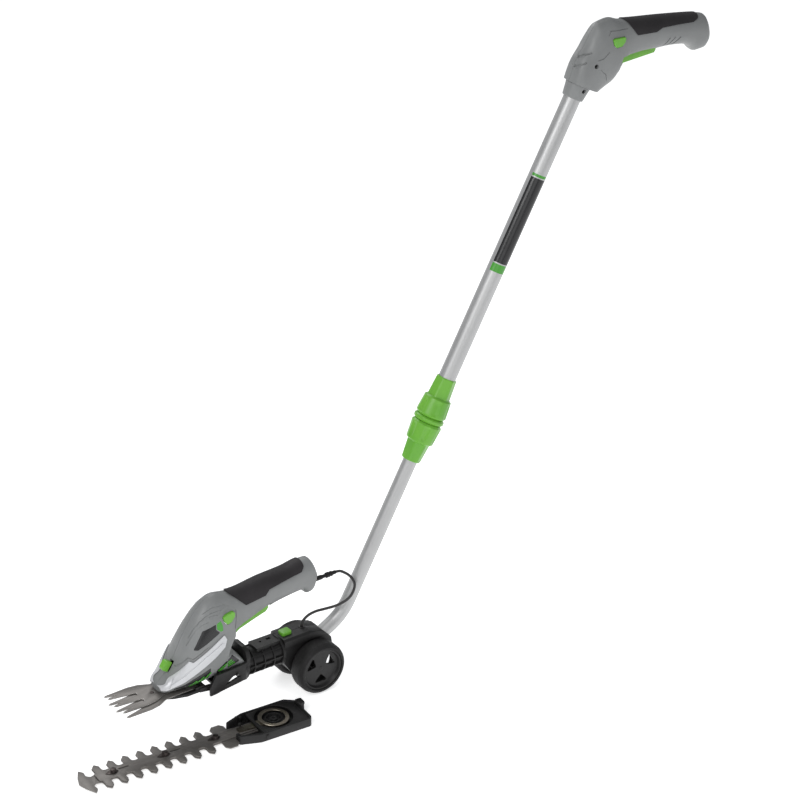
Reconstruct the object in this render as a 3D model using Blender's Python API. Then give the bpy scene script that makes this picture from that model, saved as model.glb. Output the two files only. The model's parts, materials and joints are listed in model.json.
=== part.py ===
# Cordless shrub shears on a wheeled pole, with the spare hedge blade beside them.
# Lengths are in millimetres and become metres where a mesh is made.
# The blades point to -X, the pole leans back to +X and the wheels stand on FLOOR.
import math

import bmesh
import bpy
from mathutils import Matrix, Vector

MM = 0.001
GAP = 0.3

# Wheels and axle
WHEEL_RADIUS = 34.0
AXLE_HEIGHT = 32.0
FLOOR = AXLE_HEIGHT - WHEEL_RADIUS
TYRE_WIDTH = 25.0
TYRE_WALL = 6.0
WHEEL_TRACK = 52.0
AXLE_DIAMETER = 6.0
RIM_DISH = 5.0

# Block between the wheels
BLOCK_HALF_WIDTH = 13.0
SHOULDER_HALF_WIDTH = 16.0
BLOCK_FRONT = -41.5
SHOULDER_LOW = 67.0
BLOCK_TOP = 78.0
BLOCK_WALL = 2.5
BUTTON_LENGTH = 14.0
BUTTON_WIDTH = 12.0
BUTTON_RISE = 4.0
GLAND_RADIUS = 4.0

# Pole and its bend, measured along the axis from a foot point
LEAN = math.radians(29.2)
POLE_FOOT = (70.0, 104.0)
LOWER_TUBE = 18.0
UPPER_TUBE = 22.0
TUBE_WALL = 1.2
BEND_RADIUS = 70.0
BEND_ANGLE = math.radians(32.0)
BEND_START = -11.6
BEND_STEPS = 4
TUBE_TAIL = 34.0
LOWER_REACH = 420.0
HANDLE_START = 690.0
TUBE_INSIDE = 22.0
SOCKET_END = 430.0

# Twist lock, stations along the pole
NUT_START = 182.0
NUT_NECK_END = NUT_START + 25.0
NUT_END = NUT_NECK_END + 27.5
RING_END = NUT_END + 7.5
COLLAR_WAIST = RING_END + 26.5
COLLAR_END = COLLAR_WAIST + 26.0
UPPER_START = NUT_NECK_END + 9.0
FLUTES = 6
NECK_RADII = (12.3, 14.6)
BODY_RADII = (17.4, 19.4)

# Neck, swivel and cradle
NECK_AXIS = 59.0
NECK_RADIUS = 18.5
NECK_CORE = 15.5
NECK_FRONT = -93.7
NECK_RIBS = (-87.0, -72.5, -58.5)
NECK_PLATE = -79.0
SPIGOT_RADIUS = 9.0
CRADLE_WALL = 3.0
CRADLE_FLOOR = (-152, -136, -118)
ARCH_FRONT = -99.5
ARCH_BACK = -94.0

# Shear head
SHELL_WALL = 2.0
PARTING_GAP = 0.15
SKIN = 1.0
SKIN_GAP = 0.55
BLADE_PLANE = 62.0
BLADE_THICK = 1.4
COMB_TEETH = 4
COMB_PITCH = 17.7
COMB_REACH = -281.0
COMB_ROOT = -242.0
COMB_PIVOT = -224.0
PIVOT_RADIUS = 2.2
COMB_FAN = -3.0
RAIL_FRONT = -176.0
RAIL_BACK = -164.0
RAIL_INNER = 20.6
RAIL_OUTER = 23.0
GEAR_X = -194.0
GEAR_TEETH = 20
PINION_TEETH = 10
GEAR_MODULE = 1.2
GEAR_LIFT = 5.0
ECCENTRIC = 3.0
SHAFT_RADIUS = 1.5
MOTOR_RADIUS = 13.0
MOTOR_HEIGHT = 18.0
TRIGGER_WIDTH = 12.0
TRIGGER_ROOM = 8.0
PIN_RADIUS = 1.5
HEAD_FLOOR = 64.0
RELEASE_PLACE = (-200.5, 92.3)
RELEASE_SLOPE = math.radians(54.7)
RELEASE_LENGTH = 16.0
RELEASE_RISE = 7.5
RELEASE_DEPTH = 2.5
RELEASE_WIDTH = 12.0
RELEASE_TRAVEL = 3.0

# Cord
CORD_DIAMETER = 3.5
CORD_HOLE = (-6.0, 0.0)
PLUG_AXIS = 139.6

# Spare hedge blade, in its own frame: u along the bar from the tip, v across it
SPARE_PLACE = (-238.1, -49.4)
SPARE_YAW = math.radians(-4.0)
HEDGE_PITCH = 19.8
HEDGE_TEETH = 8
HEDGE_HALF_WIDTH = 25.3
HEDGE_MIDDLE = 1.2
HEDGE_SPINE = 9.5
HEDGE_THICK = 1.6
HEDGE_FLOOR = 3.2
HOLDER_NEAR = 28.0
HOLDER_FAR = 26.0
HOLDER_HEIGHT = 12.0
HOLDER_WALL = 2.4
CUP_U = 150.0
HEDGE_FIRST = CUP_U - 233.8
HOLDER_START = CUP_U - 58.0
HOLDER_END = CUP_U + 40.0
COVER_START = CUP_U - 28.0
COVER_POST = CUP_U - 24.0
RING_OUTER = 19.5
RING_INNER = 17.3
CUP_RADIUS = 13.0
HEDGE_STROKE = 4.0
HEDGE_BOLTS = (CUP_U - 219.5, CUP_U - 149.5, CUP_U - 80.5)
BOLT_RADIUS = 2.2

# Side view and width of the shear head: curves through (x, z) or (x, half width)
HEAD = {
    "stations": [-219, -217, -213, -206, -196, -184, -170, -155, -140, -132, -128, -125.5, -122, -116,
                 -107, -96, -80, -60, -35, -12, -1, 6, 9.5, 12],
    "top": [(-219, 73), (-214, 78), (-206, 84.5), (-194, 101.5), (-179, 130.3), (-163, 153.7), (-148, 167.5),
            (-134, 172.3), (-122, 170), (-108, 167.6), (-60, 171), (-30, 172), (-8, 176), (2, 176.5),
            (8, 169.5), (12, 158.5)],
    "bottom": [(-219, 66), (-214, 64), (-130, 64), (-128, 76), (-125.5, 92), (-121.5, 104), (-113, 112),
               (-100, 116.5), (-80, 123.5), (-60, 131.3), (-45, 134.5), (-12, 137.5), (-2, 129), (5, 130),
               (9, 136.5), (12, 143)],
    "width": [(-219, 9.6), (-214, 16), (-205, 20), (-190, 26), (-165, 28), (-148, 27), (-130, 24.5),
              (-110, 21.5), (-98, 19), (-80, 17.5), (-60, 17), (-10, 16.5), (2, 15), (8, 12.5), (12, 9)],
    "crown": [(-219, 70), (-196, 79), (-160, 88), (-130, 98), (-116, 118), (-98, 130), (-80, 144),
              (-60, 151), (-10, 155), (12, 151)],
    "keel_power": 2.6,
    "ridge_power": 2.2,
}
# The lower rear of the head, which reaches back under the grip
FOOT = {
    "stations": [-140, -130, -122, -115, -110, -106, -103, -100.5],
    "top": [(-140, 104), (-126, 99), (-116, 92), (-108, 83), (-103, 76), (-100.5, 71)],
    "bottom": [(-140, 64.4), (-106, 64.4), (-100.5, 67)],
    "width": [(-140, 24.6), (-130, 23.7), (-120, 22.2), (-108, 20.3), (-103, 18.3), (-100.5, 15)],
    "crown": [(-140, 88), (-116, 84), (-103, 72), (-100.5, 69)],
    "keel_power": 2.6,
    "ridge_power": 2.4,
}
HEAD_RUBBER = [(-117, 185), (-115.5, 169), (-108.4, 162.5), (-97.7, 151.6), (-69.2, 155.2), (-62.9, 161),
               (-39.7, 164.6), (-14.8, 167.9), (-9.4, 172.9), (-7, 185)]
ARM_WINDOW = [(-138.2, 56), (-118, 67.3), (-112.7, 58.6)]
HEAD_TRIM = [(-222, 72), (-213, 78), (-202.1, 88), (-184.2, 105.8), (-179.8, 103.4), (-134.3, 125.5),
             (-130.7, 118.7), (-134.3, 109.4), (-150.3, 100.1), (-198.5, 78.2), (-211, 72.3), (-222, 70)]
HEAD_TRIGGER = [(-110, 103), (-106, 108.2), (-100.5, 112.2), (-82.5, 117.8), (-61.5, 123.8), (-58, 128),
                (-58, 142), (-69.5, 142), (-71, 131), (-84, 128), (-103, 121), (-112, 112)]
HEAD_TRIGGER_PIVOT = (-64.0, 137.5)
HEAD_LOCK = [(-132.5, 146), (-115.5, 147.6), (-116.4, 142.4), (-128.9, 137)]
HEAD_LOCK_FACE = -21.8

# The same for the handle on the pole
HANDLE = {
    "stations": [392.5, 394, 398, 404, 412, 422, 432, 444, 456, 464, 468, 472, 478, 505, 535, 560, 572,
                 582, 592, 600, 604.5],
    "top": [(392.5, 714.7), (396.5, 726.3), (404.5, 743.8), (414.5, 756.5), (424, 771), (433, 780.5),
            (450, 783), (467, 776.8), (532, 765.6), (586, 756), (597.5, 753), (604.5, 738)],
    "bottom": [(392.5, 690), (404.5, 676), (429.5, 691), (438, 695), (450, 700), (462, 711), (468, 715.5),
               (474, 724.5), (525, 727), (560, 723), (572, 717.5), (582, 708.5), (595.4, 709),
               (604.5, 720.5)],
    "width": [(392.5, 12), (396, 15), (404, 18), (422, 20), (450, 19.5), (475, 17.5), (530, 17),
              (590, 15.5), (600, 12.5), (604.5, 8)],
    "crown": [(392.5, 706), (412, 718), (450, 738), (475, 751), (532, 746), (590, 732), (604.5, 726)],
    "keel_power": 2.4,
    "ridge_power": 2.2,
}
HANDLE_RUBBER = [(466, 795), (467, 777.4), (471.9, 771.2), (481.7, 757.8), (512.8, 754.7), (522.6, 757.5),
                 (548, 755.3), (573.4, 751.9), (582.4, 753.7), (587, 758), (588, 795)]
HANDLE_TRIGGER = [(463.5, 712.5), (469.5, 720), (500, 721.3), (519, 722), (521.5, 726), (521, 742),
                  (510, 742), (509, 731), (472, 731), (463, 722)]
HANDLE_TRIGGER_PIVOT = (515.5, 737.0)
HANDLE_LOCK = [(445.7, 760.8), (463.7, 759.3), (456.3, 749.3), (449, 748.4)]
HANDLE_LOCK_FACE = -19.6
LOCK_FOOT = -9.8

# Open stretch of the cord from the plug to the block, as (x, y, z)
CORD_ROUTE = [(45.5, 0, 139.6), (49.5, -0.6, 139.5), (53.5, -2.2, 138.3), (60.2, -6, 133.3),
              (63.8, -10, 127.9), (64.9, -13, 121.9), (62.8, -14.5, 115.3), (58.0, -14.5, 107.6),
              (49.9, -13, 101.7), (38.2, -10, 97.8), (24.8, -6.5, 96.4), (14.0, -3.4, 95.4),
              (5.0, -1.2, 92.6), (-1.8, -0.2, 88.2), (-5.2, 0, 83.6), (-6.0, 0, 79.1)]

looks = {}


def look(name, color, roughness, metallic=0.0):
    if name not in looks:
        made = bpy.data.materials.new(name)
        made.use_nodes = True
        shader = made.node_tree.nodes["Principled BSDF"]
        shader.inputs["Base Color"].default_value = (*color, 1.0)
        shader.inputs["Roughness"].default_value = roughness
        shader.inputs["Metallic"].default_value = metallic
        looks[name] = made
    return looks[name]


def black_plastic():
    return look("black_plastic", (0.02, 0.02, 0.022), 0.55)


def grey_plastic():
    return look("grey_plastic", (0.42, 0.44, 0.45), 0.45)


def green_plastic():
    return look("green_plastic", (0.18, 0.62, 0.06), 0.4)


def rubber():
    return look("rubber", (0.03, 0.03, 0.032), 0.8)


def aluminium():
    return look("aluminium", (0.62, 0.63, 0.65), 0.35, 1.0)


def steel():
    return look("steel", (0.45, 0.43, 0.41), 0.4, 1.0)


def silver_plastic():
    return look("silver_plastic", (0.85, 0.86, 0.88), 0.2, 0.6)


def brass():
    return look("brass", (0.6, 0.5, 0.25), 0.35, 1.0)


# Mesh helpers

def smooth_shaded(mesh, sharp=35.0):
    mesh.shade_smooth()
    mesh.set_sharp_from_angle(angle=math.radians(sharp))
    return mesh


def solid(name, points, faces, flat=True):
    # faces that aren't flat are split into triangles, which the cuts need
    mesh = bpy.data.meshes.new(name)
    mesh.from_pydata([Vector(point) * MM for point in points], [], faces)
    work = bmesh.new()
    work.from_mesh(mesh)
    bmesh.ops.remove_doubles(work, verts=work.verts, dist=1e-6)
    bmesh.ops.recalc_face_normals(work, faces=work.faces)
    if not flat:
        bmesh.ops.triangulate(work, faces=[face for face in work.faces if len(face.verts) == 4])
    work.to_mesh(mesh)
    work.free()
    return smooth_shaded(mesh)


def prism(name, outline, low, high, along="Y"):
    # an outline drawn in the plane square to the axis, pushed from low to high
    def lift(a, b, h):
        return {"Y": (a, h, b), "Z": (a, b, h), "X": (h, a, b)}[along]

    count = len(outline)
    points = [lift(a, b, low) for a, b in outline] + [lift(a, b, high) for a, b in outline]
    faces = [tuple(range(count)), tuple(range(2 * count - 1, count - 1, -1))]
    faces += [(i, (i + 1) % count, (i + 1) % count + count, i + count) for i in range(count)]
    return solid(name, points, faces)


def box(name, low, high):
    outline = [(low[0], low[2]), (high[0], low[2]), (high[0], high[2]), (low[0], high[2])]
    return prism(name, outline, low[1], high[1])


def turned(name, profile, frame, steps=28):
    # (radius, height) pairs turned about the frame's Z axis; a profile off the axis closes into a ring,
    # and a third value sinks a flute that deep into every fourth step
    points = []
    rows = []
    for radius, height, *flute in profile:
        if radius < 1e-6:
            rows.append([len(points)] * steps)
            points.append(frame @ Vector((0, 0, height)))
            continue
        rows.append([len(points) + i for i in range(steps)])
        for i in range(steps):
            turn = 2 * math.pi * i / steps
            size = radius - (flute[0] * (0, 0.5, 1, 0.5)[i % 4] if flute else 0.0)
            points.append(frame @ Vector((size * math.cos(turn), size * math.sin(turn), height)))
    if profile[0][0] > 1e-6:
        rows.append(rows[0])
    faces = []
    for low, high in zip(rows, rows[1:]):
        for i in range(steps):
            j = (i + 1) % steps
            face = []
            for corner in (low[i], low[j], high[j], high[i]):
                if corner not in face:
                    face.append(corner)
            if len(face) > 2:
                faces.append(tuple(face))
    return solid(name, points, faces)


def rod(radius, low, high, bevel=0.0):
    # the profile of a plain bar, with its two rims broken
    if not bevel:
        return [(0, low), (radius, low), (radius, high), (0, high)]
    return [(0, low), (radius - bevel, low), (radius, low + bevel),
            (radius, high - bevel), (radius - bevel, high), (0, high)]


def ring(inner, outer, low, high, bevel=0.0):
    if not bevel:
        return [(inner, low), (outer, low), (outer, high), (inner, high)]
    return [(inner, low), (outer - bevel, low), (outer, low + bevel),
            (outer, high - bevel), (outer - bevel, high), (inner, high)]


def rounded(outline, radius, steps=3):
    # the outline with each corner turned into an arc
    result = []
    count = len(outline)
    for i in range(count):
        before = Vector(outline[i - 1])
        corner = Vector(outline[i])
        after = Vector(outline[(i + 1) % count])
        size = radius[i] if isinstance(radius, (list, tuple)) else radius
        reach_in = (before - corner).normalized()
        reach_out = (after - corner).normalized()
        half = max(0.05, reach_in.angle(reach_out) / 2)
        length = min(size / math.tan(half), 0.46 * (before - corner).length, 0.46 * (after - corner).length)
        if length < 0.1 or half > 1.5:
            result.append(tuple(corner))
            continue
        start = corner + reach_in * length
        end = corner + reach_out * length
        for k in range(steps + 1):
            t = k / steps
            result.append(tuple(start * (1 - t) ** 2 + corner * 2 * t * (1 - t) + end * t ** 2))
    return result


def rectangle(middle, length, width):
    return [(middle[0] - length / 2, middle[1] - width / 2), (middle[0] + length / 2, middle[1] - width / 2),
            (middle[0] + length / 2, middle[1] + width / 2), (middle[0] - length / 2, middle[1] + width / 2)]


def disc(middle, radius, steps=16):
    return [(middle[0] + radius * math.cos(2 * math.pi * k / steps),
             middle[1] + radius * math.sin(2 * math.pi * k / steps)) for k in range(steps)]


def smooth(points, x):
    # a curve through the points that never overshoots between them
    if x <= points[0][0]:
        return points[0][1]
    if x >= points[-1][0]:
        return points[-1][1]
    slopes = [(b[1] - a[1]) / (b[0] - a[0]) for a, b in zip(points, points[1:])]
    tangents = [slopes[0]]
    for before, after in zip(slopes, slopes[1:]):
        tangents.append(0.0 if before * after <= 0 else 2 * before * after / (before + after))
    tangents.append(slopes[-1])
    i = max(k for k in range(len(slopes)) if x >= points[k][0])
    width = points[i + 1][0] - points[i][0]
    t = (x - points[i][0]) / width
    return (points[i][1] * (1 + 2 * t) * (1 - t) ** 2 + tangents[i] * width * t * (1 - t) ** 2
            + points[i + 1][1] * t * t * (3 - 2 * t) + tangents[i + 1] * width * t * t * (t - 1))


# Moulded forms: a side view drawn as top and bottom curves, and a rounded section at each station

def half_section(form, x, shrink, count):
    # from the keel up one side to the ridge, as (y, z); the looks to either side keep steep walls as thick
    places = (x - abs(shrink), x, x + abs(shrink))
    inner, outer = (min, max) if shrink > 0 else (max, min)
    top = inner(smooth(form["top"], place) for place in places) - shrink
    bottom = outer(smooth(form["bottom"], place) for place in places) + shrink
    width = inner(smooth(form["width"], place) for place in places) - shrink
    crown = min(max(smooth(form["crown"], x), bottom + 1.0), top - 1.0)
    points = []
    for k in range(count + 1):
        turn = math.pi * (k / count - 0.5)
        power = 2 / (form["keel_power"] if turn < 0 else form["ridge_power"])
        reach = (top - crown) if turn > 0 else (crown - bottom)
        rise = math.copysign(abs(math.sin(turn)) ** power, turn)
        out = 0.0 if k in (0, count) else abs(math.cos(turn)) ** power
        points.append((width * out, crown + reach * rise))
    return points


def moulded(name, form, shrink=0.0, side=0, stations=None, count=7):
    # side -1 or 1 gives one half with a flat face on the parting plane, 0 the whole form
    xs = stations
    if xs is None:
        xs = form["stations"]
        if shrink > 0:
            low = xs[0] + 1.5 * shrink
            high = xs[-1] - 1.5 * shrink
            xs = [low] + [x for x in xs if low + 1 < x < high - 1] + [high]
    points = []
    loops = []
    for x in xs:
        half = half_section(form, x, shrink, count)
        if side:
            loop = [(x, side * (PARTING_GAP + y), z) for y, z in half]
        else:
            loop = [(x, y, z) for y, z in half] + [(x, -y, z) for y, z in half[-2:0:-1]]
        loops.append(list(range(len(points), len(points) + len(loop))))
        points += loop
    faces = [tuple(loops[0]), tuple(reversed(loops[-1]))]
    size = len(loops[0])
    for low, high in zip(loops, loops[1:]):
        faces += [(low[i], low[(i + 1) % size], high[(i + 1) % size], high[i]) for i in range(size)]
    return solid(name, points, faces, False)


def tube(name, path, radius, sides, wall=0.0):
    # a round bar, or a pipe with the given wall, along a path in the XZ plane
    points = []
    outer = []
    inner = []
    for i, point in enumerate(path):
        ahead = (Vector(path[min(i + 1, len(path) - 1)]) - Vector(path[max(i - 1, 0)])).normalized()
        across = Vector((0, 1, 0))
        up = ahead.cross(across)
        for size, store in ((radius, outer), (radius - wall, inner)) if wall else ((radius, outer),):
            store.append(len(points))
            for k in range(sides):
                turn = 2 * math.pi * k / sides
                points.append(Vector(point) + size * (math.cos(turn) * across + math.sin(turn) * up))
    faces = []
    pairs = list(zip(outer, outer[1:]))
    if wall:
        pairs += list(zip(inner, inner[1:])) + [(outer[0], inner[0]), (outer[-1], inner[-1])]
    for low, high in pairs:
        for k in range(sides):
            after = (k + 1) % sides
            faces.append((low + k, low + after, high + after, high + k))
    if not wall:
        faces += [tuple(range(outer[0], outer[0] + sides)), tuple(range(outer[-1], outer[-1] + sides))]
    return solid(name, points, faces)


# Objects, joints and cuts

def anchor(name, at, parent=None):
    # an empty on a joint's axis, which carries the pieces that turn or slide there
    parent = parent or root
    empty = bpy.data.objects.new(name, None)
    bpy.context.scene.collection.objects.link(empty)
    empty.location = Vector(at) * MM
    empty.parent = parent
    empty["place"] = tuple(empty.location)
    if parent is not root:
        empty.matrix_parent_inverse = Matrix.Translation(-Vector(parent["place"]))
    return empty


def piece(name, mesh, look, parent=None):
    made = bpy.data.objects.new(name, mesh)
    bpy.context.scene.collection.objects.link(made)
    mesh.materials.append(look)
    made.parent = parent or root
    if made.parent is not root:
        made.matrix_parent_inverse = Matrix.Translation(-Vector(made.parent["place"]))
    return made


def guide(name, mesh):
    # a shape that only cuts or joins, and isn't a piece
    made = bpy.data.objects.new(name, mesh)
    bpy.context.scene.collection.objects.link(made)
    made.parent = root
    made.hide_render = True
    made.display_type = "WIRE"
    return made


def combine(target, shape, operation):
    tool = shape
    if isinstance(shape, bpy.types.Mesh):
        tool = guide(target.name + "_" + operation.lower(), shape)
    step = target.modifiers.new(operation.lower(), "BOOLEAN")
    step.operation = operation
    step.solver = "EXACT"
    step.object = tool
    return target


def cut(target, *shapes):
    for mesh in shapes:
        combine(target, mesh, "DIFFERENCE")
    return target


def fuse(target, *meshes):
    for mesh in meshes:
        combine(target, mesh, "UNION")
    return target


def keep(target, mesh):
    return combine(target, mesh, "INTERSECT")


def on_pole(along, aside=0.0):
    # a point on the pole's axis, measured from its foot, or beside it
    return Vector((POLE_FOOT[0] + along * math.sin(LEAN) + aside * math.cos(LEAN), 0,
                   POLE_FOOT[1] + along * math.cos(LEAN) - aside * math.sin(LEAN)))


def pole_frame():
    return Matrix.Translation(on_pole(0)) @ Matrix.Rotation(LEAN, 4, "Y")


def pole_block(name, low, high, reach, half):
    # a box square to the pole, from low to high along it
    outline = [on_pole(low, -reach), on_pole(low, reach), on_pole(high, reach), on_pole(high, -reach)]
    return prism(name, [(point.x, point.z) for point in outline], -half, half)


def y_frame(x, y, z):
    return Matrix.Translation((x, y, z)) @ Matrix.Rotation(-math.pi / 2, 4, "X")


def x_frame(x, y, z):
    return Matrix.Translation((x, y, z)) @ Matrix.Rotation(math.pi / 2, 4, "Y")


def z_frame(x, y, z=0.0):
    return Matrix.Translation((x, y, z))


# Wheels

def wheel(side, name):
    place = (0, side * WHEEL_TRACK / 2, AXLE_HEIGHT)
    axis = anchor(name + "_axis", place)
    frame = y_frame(*place)
    half = TYRE_WIDTH / 2
    inner = WHEEL_RADIUS - TYRE_WALL
    tyre = [(inner, -half), (WHEEL_RADIUS - 3.5, -half), (WHEEL_RADIUS - 1, -half + 2.5),
            (WHEEL_RADIUS, -half + 6), (WHEEL_RADIUS, half - 6), (WHEEL_RADIUS - 1, half - 2.5),
            (WHEEL_RADIUS - 3.5, half), (inner, half)]
    piece(name + "_tyre", turned(name + "_tyre", tyre, frame, 28), rubber(), axis)
    bore = AXLE_DIAMETER / 2 + GAP
    face = half - RIM_DISH
    edge = inner - GAP
    rim = [(bore, -half + 4), (bore + 4, -half + 4), (bore + 4, face - 3), (edge - 3, face - 3),
           (edge - 3, -half + 1.5), (edge, -half + 1.5), (edge, half - 1.5), (edge - 2, half - 1.5),
           (edge - 3.5, face), (0, face + 0.8), (0, face - 2), (bore, face - 2)]
    rim = [(radius, side * height) for radius, height in rim]
    made = piece(name + "_rim", wheel_disc(name, rim, bore, side, frame), black_plastic(), axis)
    middle = place[1] + side * face
    for k in range(3):
        cut(made, prism(name + "_window", wheel_window(k), middle - 7, middle + 7))


def wheel_disc(name, profile, bore, side, frame):
    # the disc closes over the axle's end, so its profile starts and ends on the axis
    start = next(i for i, point in enumerate(profile) if point[0] < 1e-6)
    loop = profile[start + 1:] + profile[:start + 1]
    return turned(name + "_rim", loop, frame, 24)


def wheel_window(k):
    # a round-cornered triangle, point inwards
    turn = math.radians(120 * k + 28)
    corners = [(9.0, 0.0), (20.5, 0.42), (20.5, -0.42)]
    flat = [(r * math.cos(turn + t), AXLE_HEIGHT + r * math.sin(turn + t)) for r, t in corners]
    return rounded(flat, 2.2, 2)


def axle():
    half = WHEEL_TRACK / 2 + TYRE_WIDTH / 2 - RIM_DISH - 2 - GAP
    bar = rod(AXLE_DIAMETER / 2, -half, half, 0.5)
    piece("axle", turned("axle", bar, y_frame(0, 0, AXLE_HEIGHT), 16), steel())


# Rear block

def tube_path(reach):
    # down the pole, round the bend and forward into the block
    points = [tuple(on_pole(reach)), tuple(on_pole(BEND_START + 30)), tuple(on_pole(BEND_START))]
    centre = on_pole(BEND_START, -BEND_RADIUS)
    for k in range(1, BEND_STEPS + 1):
        turn = LEAN + BEND_ANGLE * k / BEND_STEPS
        points.append((centre.x + BEND_RADIUS * math.cos(turn), 0, centre.z - BEND_RADIUS * math.sin(turn)))
    turn = LEAN + BEND_ANGLE
    end = Vector(points[-1])
    tail = end - TUBE_TAIL * Vector((math.sin(turn), 0, math.cos(turn)))
    points.append(tuple(tail))
    return points


def lower_tube():
    path = tube_path(LOWER_REACH)
    piece("lower_tube", tube("lower_tube", path, LOWER_TUBE / 2, 16, TUBE_WALL), aluminium())


def block_outline():
    outline = [(BLOCK_FRONT, 44), (-30, 26), (-14, 18), (10, 18), (24, 28), (31, 44), (29, 58),
               (16, 72), (-2, BLOCK_TOP), (BLOCK_FRONT, BLOCK_TOP)]
    return rounded(outline, [3, 6, 6, 8, 8, 8, 6, 6, 4, 1.5], 2)


def button_middle():
    return (BLOCK_FRONT + 3.5 + BUTTON_LENGTH / 2, 0.0)


def block():
    shoulder = [(BLOCK_FRONT, SHOULDER_LOW), (20, SHOULDER_LOW), (14, 72), (-2, BLOCK_TOP),
                (BLOCK_FRONT, BLOCK_TOP)]
    tail_bore = tube_path(LOWER_REACH)[3:]
    for side, name in ((-1, "block_left"), (1, "block_right")):
        low, high = sorted((side * PARTING_GAP, side * BLOCK_HALF_WIDTH))
        half = piece(name, prism(name, block_outline(), low, high), black_plastic())
        low, high = sorted((side * PARTING_GAP, side * SHOULDER_HALF_WIDTH))
        fuse(half, prism("shoulder", shoulder, low, high))
        edge = side * (SHOULDER_HALF_WIDTH + 1)
        bevel = [(edge - side * 4.5, BLOCK_TOP + 1), (edge, BLOCK_TOP + 1), (edge, BLOCK_TOP - 3.5)]
        cut(half, prism("chamfer", bevel, BLOCK_FRONT - 5, 40, "X"))
        inner = [(BLOCK_FRONT + BLOCK_WALL, 46), (-28, 29), (-13, 21), (9, 21), (21, 30), (26, 44), (14, 66),
                 (0.5, BLOCK_TOP - BLOCK_WALL), (BLOCK_FRONT + BLOCK_WALL, BLOCK_TOP - BLOCK_WALL)]
        room = BLOCK_HALF_WIDTH - BLOCK_WALL
        cut(half, prism("hollow", inner, -room, room))
        cut(half, turned("axle_bore", rod(AXLE_DIAMETER / 2 + GAP, -30, 30), y_frame(0, 0, AXLE_HEIGHT), 16))
        cut(half, tube("tube_bore", tail_bore, LOWER_TUBE / 2 + GAP, 20))
        well = rectangle(button_middle(), BUTTON_LENGTH + 2 * GAP, BUTTON_WIDTH + 2 * GAP)
        well = rounded(well, 3.0 + GAP, 2)
        cut(half, prism("button_well", well, BLOCK_TOP - 6, BLOCK_TOP + 4, "Z"))
        cut(half, turned("cord_bore", rod(GLAND_RADIUS + GAP, BLOCK_TOP - 8, BLOCK_TOP + 8),
                         z_frame(*CORD_HOLE), 16))
        cut(half, turned("neck_bore", rod(SPIGOT_RADIUS + GAP, BLOCK_FRONT - 5, BLOCK_FRONT + 8),
                         x_frame(0, 0, NECK_AXIS), 20))
    hole = CORD_DIAMETER / 2 + GAP
    flange = GLAND_RADIUS + 1.5
    gland = [(hole, -4), (flange, -4), (flange, -2.8), (GLAND_RADIUS, -2.8), (GLAND_RADIUS, 0.8), (hole, 0.8)]
    gland = [(r, BLOCK_TOP + h) for r, h in gland]
    piece("cord_gland", turned("cord_gland", gland, z_frame(*CORD_HOLE), 12), rubber())


def swivel_button():
    axis = anchor("swivel_button_axis", (*button_middle(), BLOCK_TOP))
    cap = rounded(rectangle(button_middle(), BUTTON_LENGTH, BUTTON_WIDTH), 3.0, 2)
    foot = rectangle(button_middle(), BUTTON_LENGTH + 1.4, BUTTON_WIDTH + 4)
    made = piece("swivel_button", prism("swivel_button", cap, BLOCK_TOP - 4, BLOCK_TOP + BUTTON_RISE, "Z"),
                 green_plastic(), axis)
    fuse(made, prism("foot", foot, BLOCK_TOP - 6, BLOCK_TOP - BLOCK_WALL - GAP, "Z"))


# Twist lock

def twist_lock(slider):
    frame = pole_frame()
    nut_axis = anchor("nut_axis", on_pole(NUT_NECK_END), slider)
    lower_bore = LOWER_TUBE / 2 + GAP
    upper_bore = UPPER_TUBE / 2 + GAP
    thin, neck = NECK_RADII
    small, large = BODY_RADII
    nut = [(lower_bore, NUT_START), (thin - 1, NUT_START), (thin, NUT_START + 1), (neck, NUT_NECK_END),
           (small, NUT_NECK_END + 2), (small + 0.3, NUT_NECK_END + 5, 1.6), (large - 0.2, NUT_END - 4, 1.6),
           (large, NUT_END - 1), (large - 1, NUT_END), (upper_bore, NUT_END), (upper_bore, NUT_NECK_END - 1),
           (lower_bore, NUT_NECK_END - 4)]
    piece("lock_nut", turned("lock_nut", nut, frame, 4 * FLUTES), green_plastic(), nut_axis)
    collet = ring(lower_bore, upper_bore - 2 * GAP, NUT_NECK_END, UPPER_START - GAP)
    made = piece("lock_collet", turned("lock_collet", collet, frame, 16), black_plastic(), slider)
    middle = on_pole(NUT_NECK_END)
    cut(made, box("split", (middle.x, -0.6, middle.z - 30), (middle.x + 30, 0.6, middle.z + 30)))
    band = ring(upper_bore, large, NUT_END + 0.6, RING_END, 0.8)
    piece("lock_ring", turned("lock_ring", band, frame, 24), green_plastic(), slider)
    collar = [(upper_bore, RING_END + GAP), (large - 1, RING_END + GAP), (large, RING_END + 1.3),
              (large - 0.2, RING_END + 4, 1.6), (small + 0.3, COLLAR_WAIST - 5, 1.6),
              (small, COLLAR_WAIST - 2),
              (neck, COLLAR_WAIST), (thin + 0.6, COLLAR_END - 1), (thin - 0.4, COLLAR_END),
              (upper_bore, COLLAR_END)]
    piece("lock_collar", turned("lock_collar", collar, frame, 4 * FLUTES), green_plastic(), slider)


def upper_tube(slider):
    path = [tuple(on_pole(UPPER_START)), tuple(on_pole((UPPER_START + HANDLE_START) / 2)),
            tuple(on_pole(HANDLE_START + TUBE_INSIDE))]
    piece("upper_tube", tube("upper_tube", path, UPPER_TUBE / 2, 20, TUBE_WALL), aluminium(), slider)


# Housings shared by the head and the handle

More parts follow.
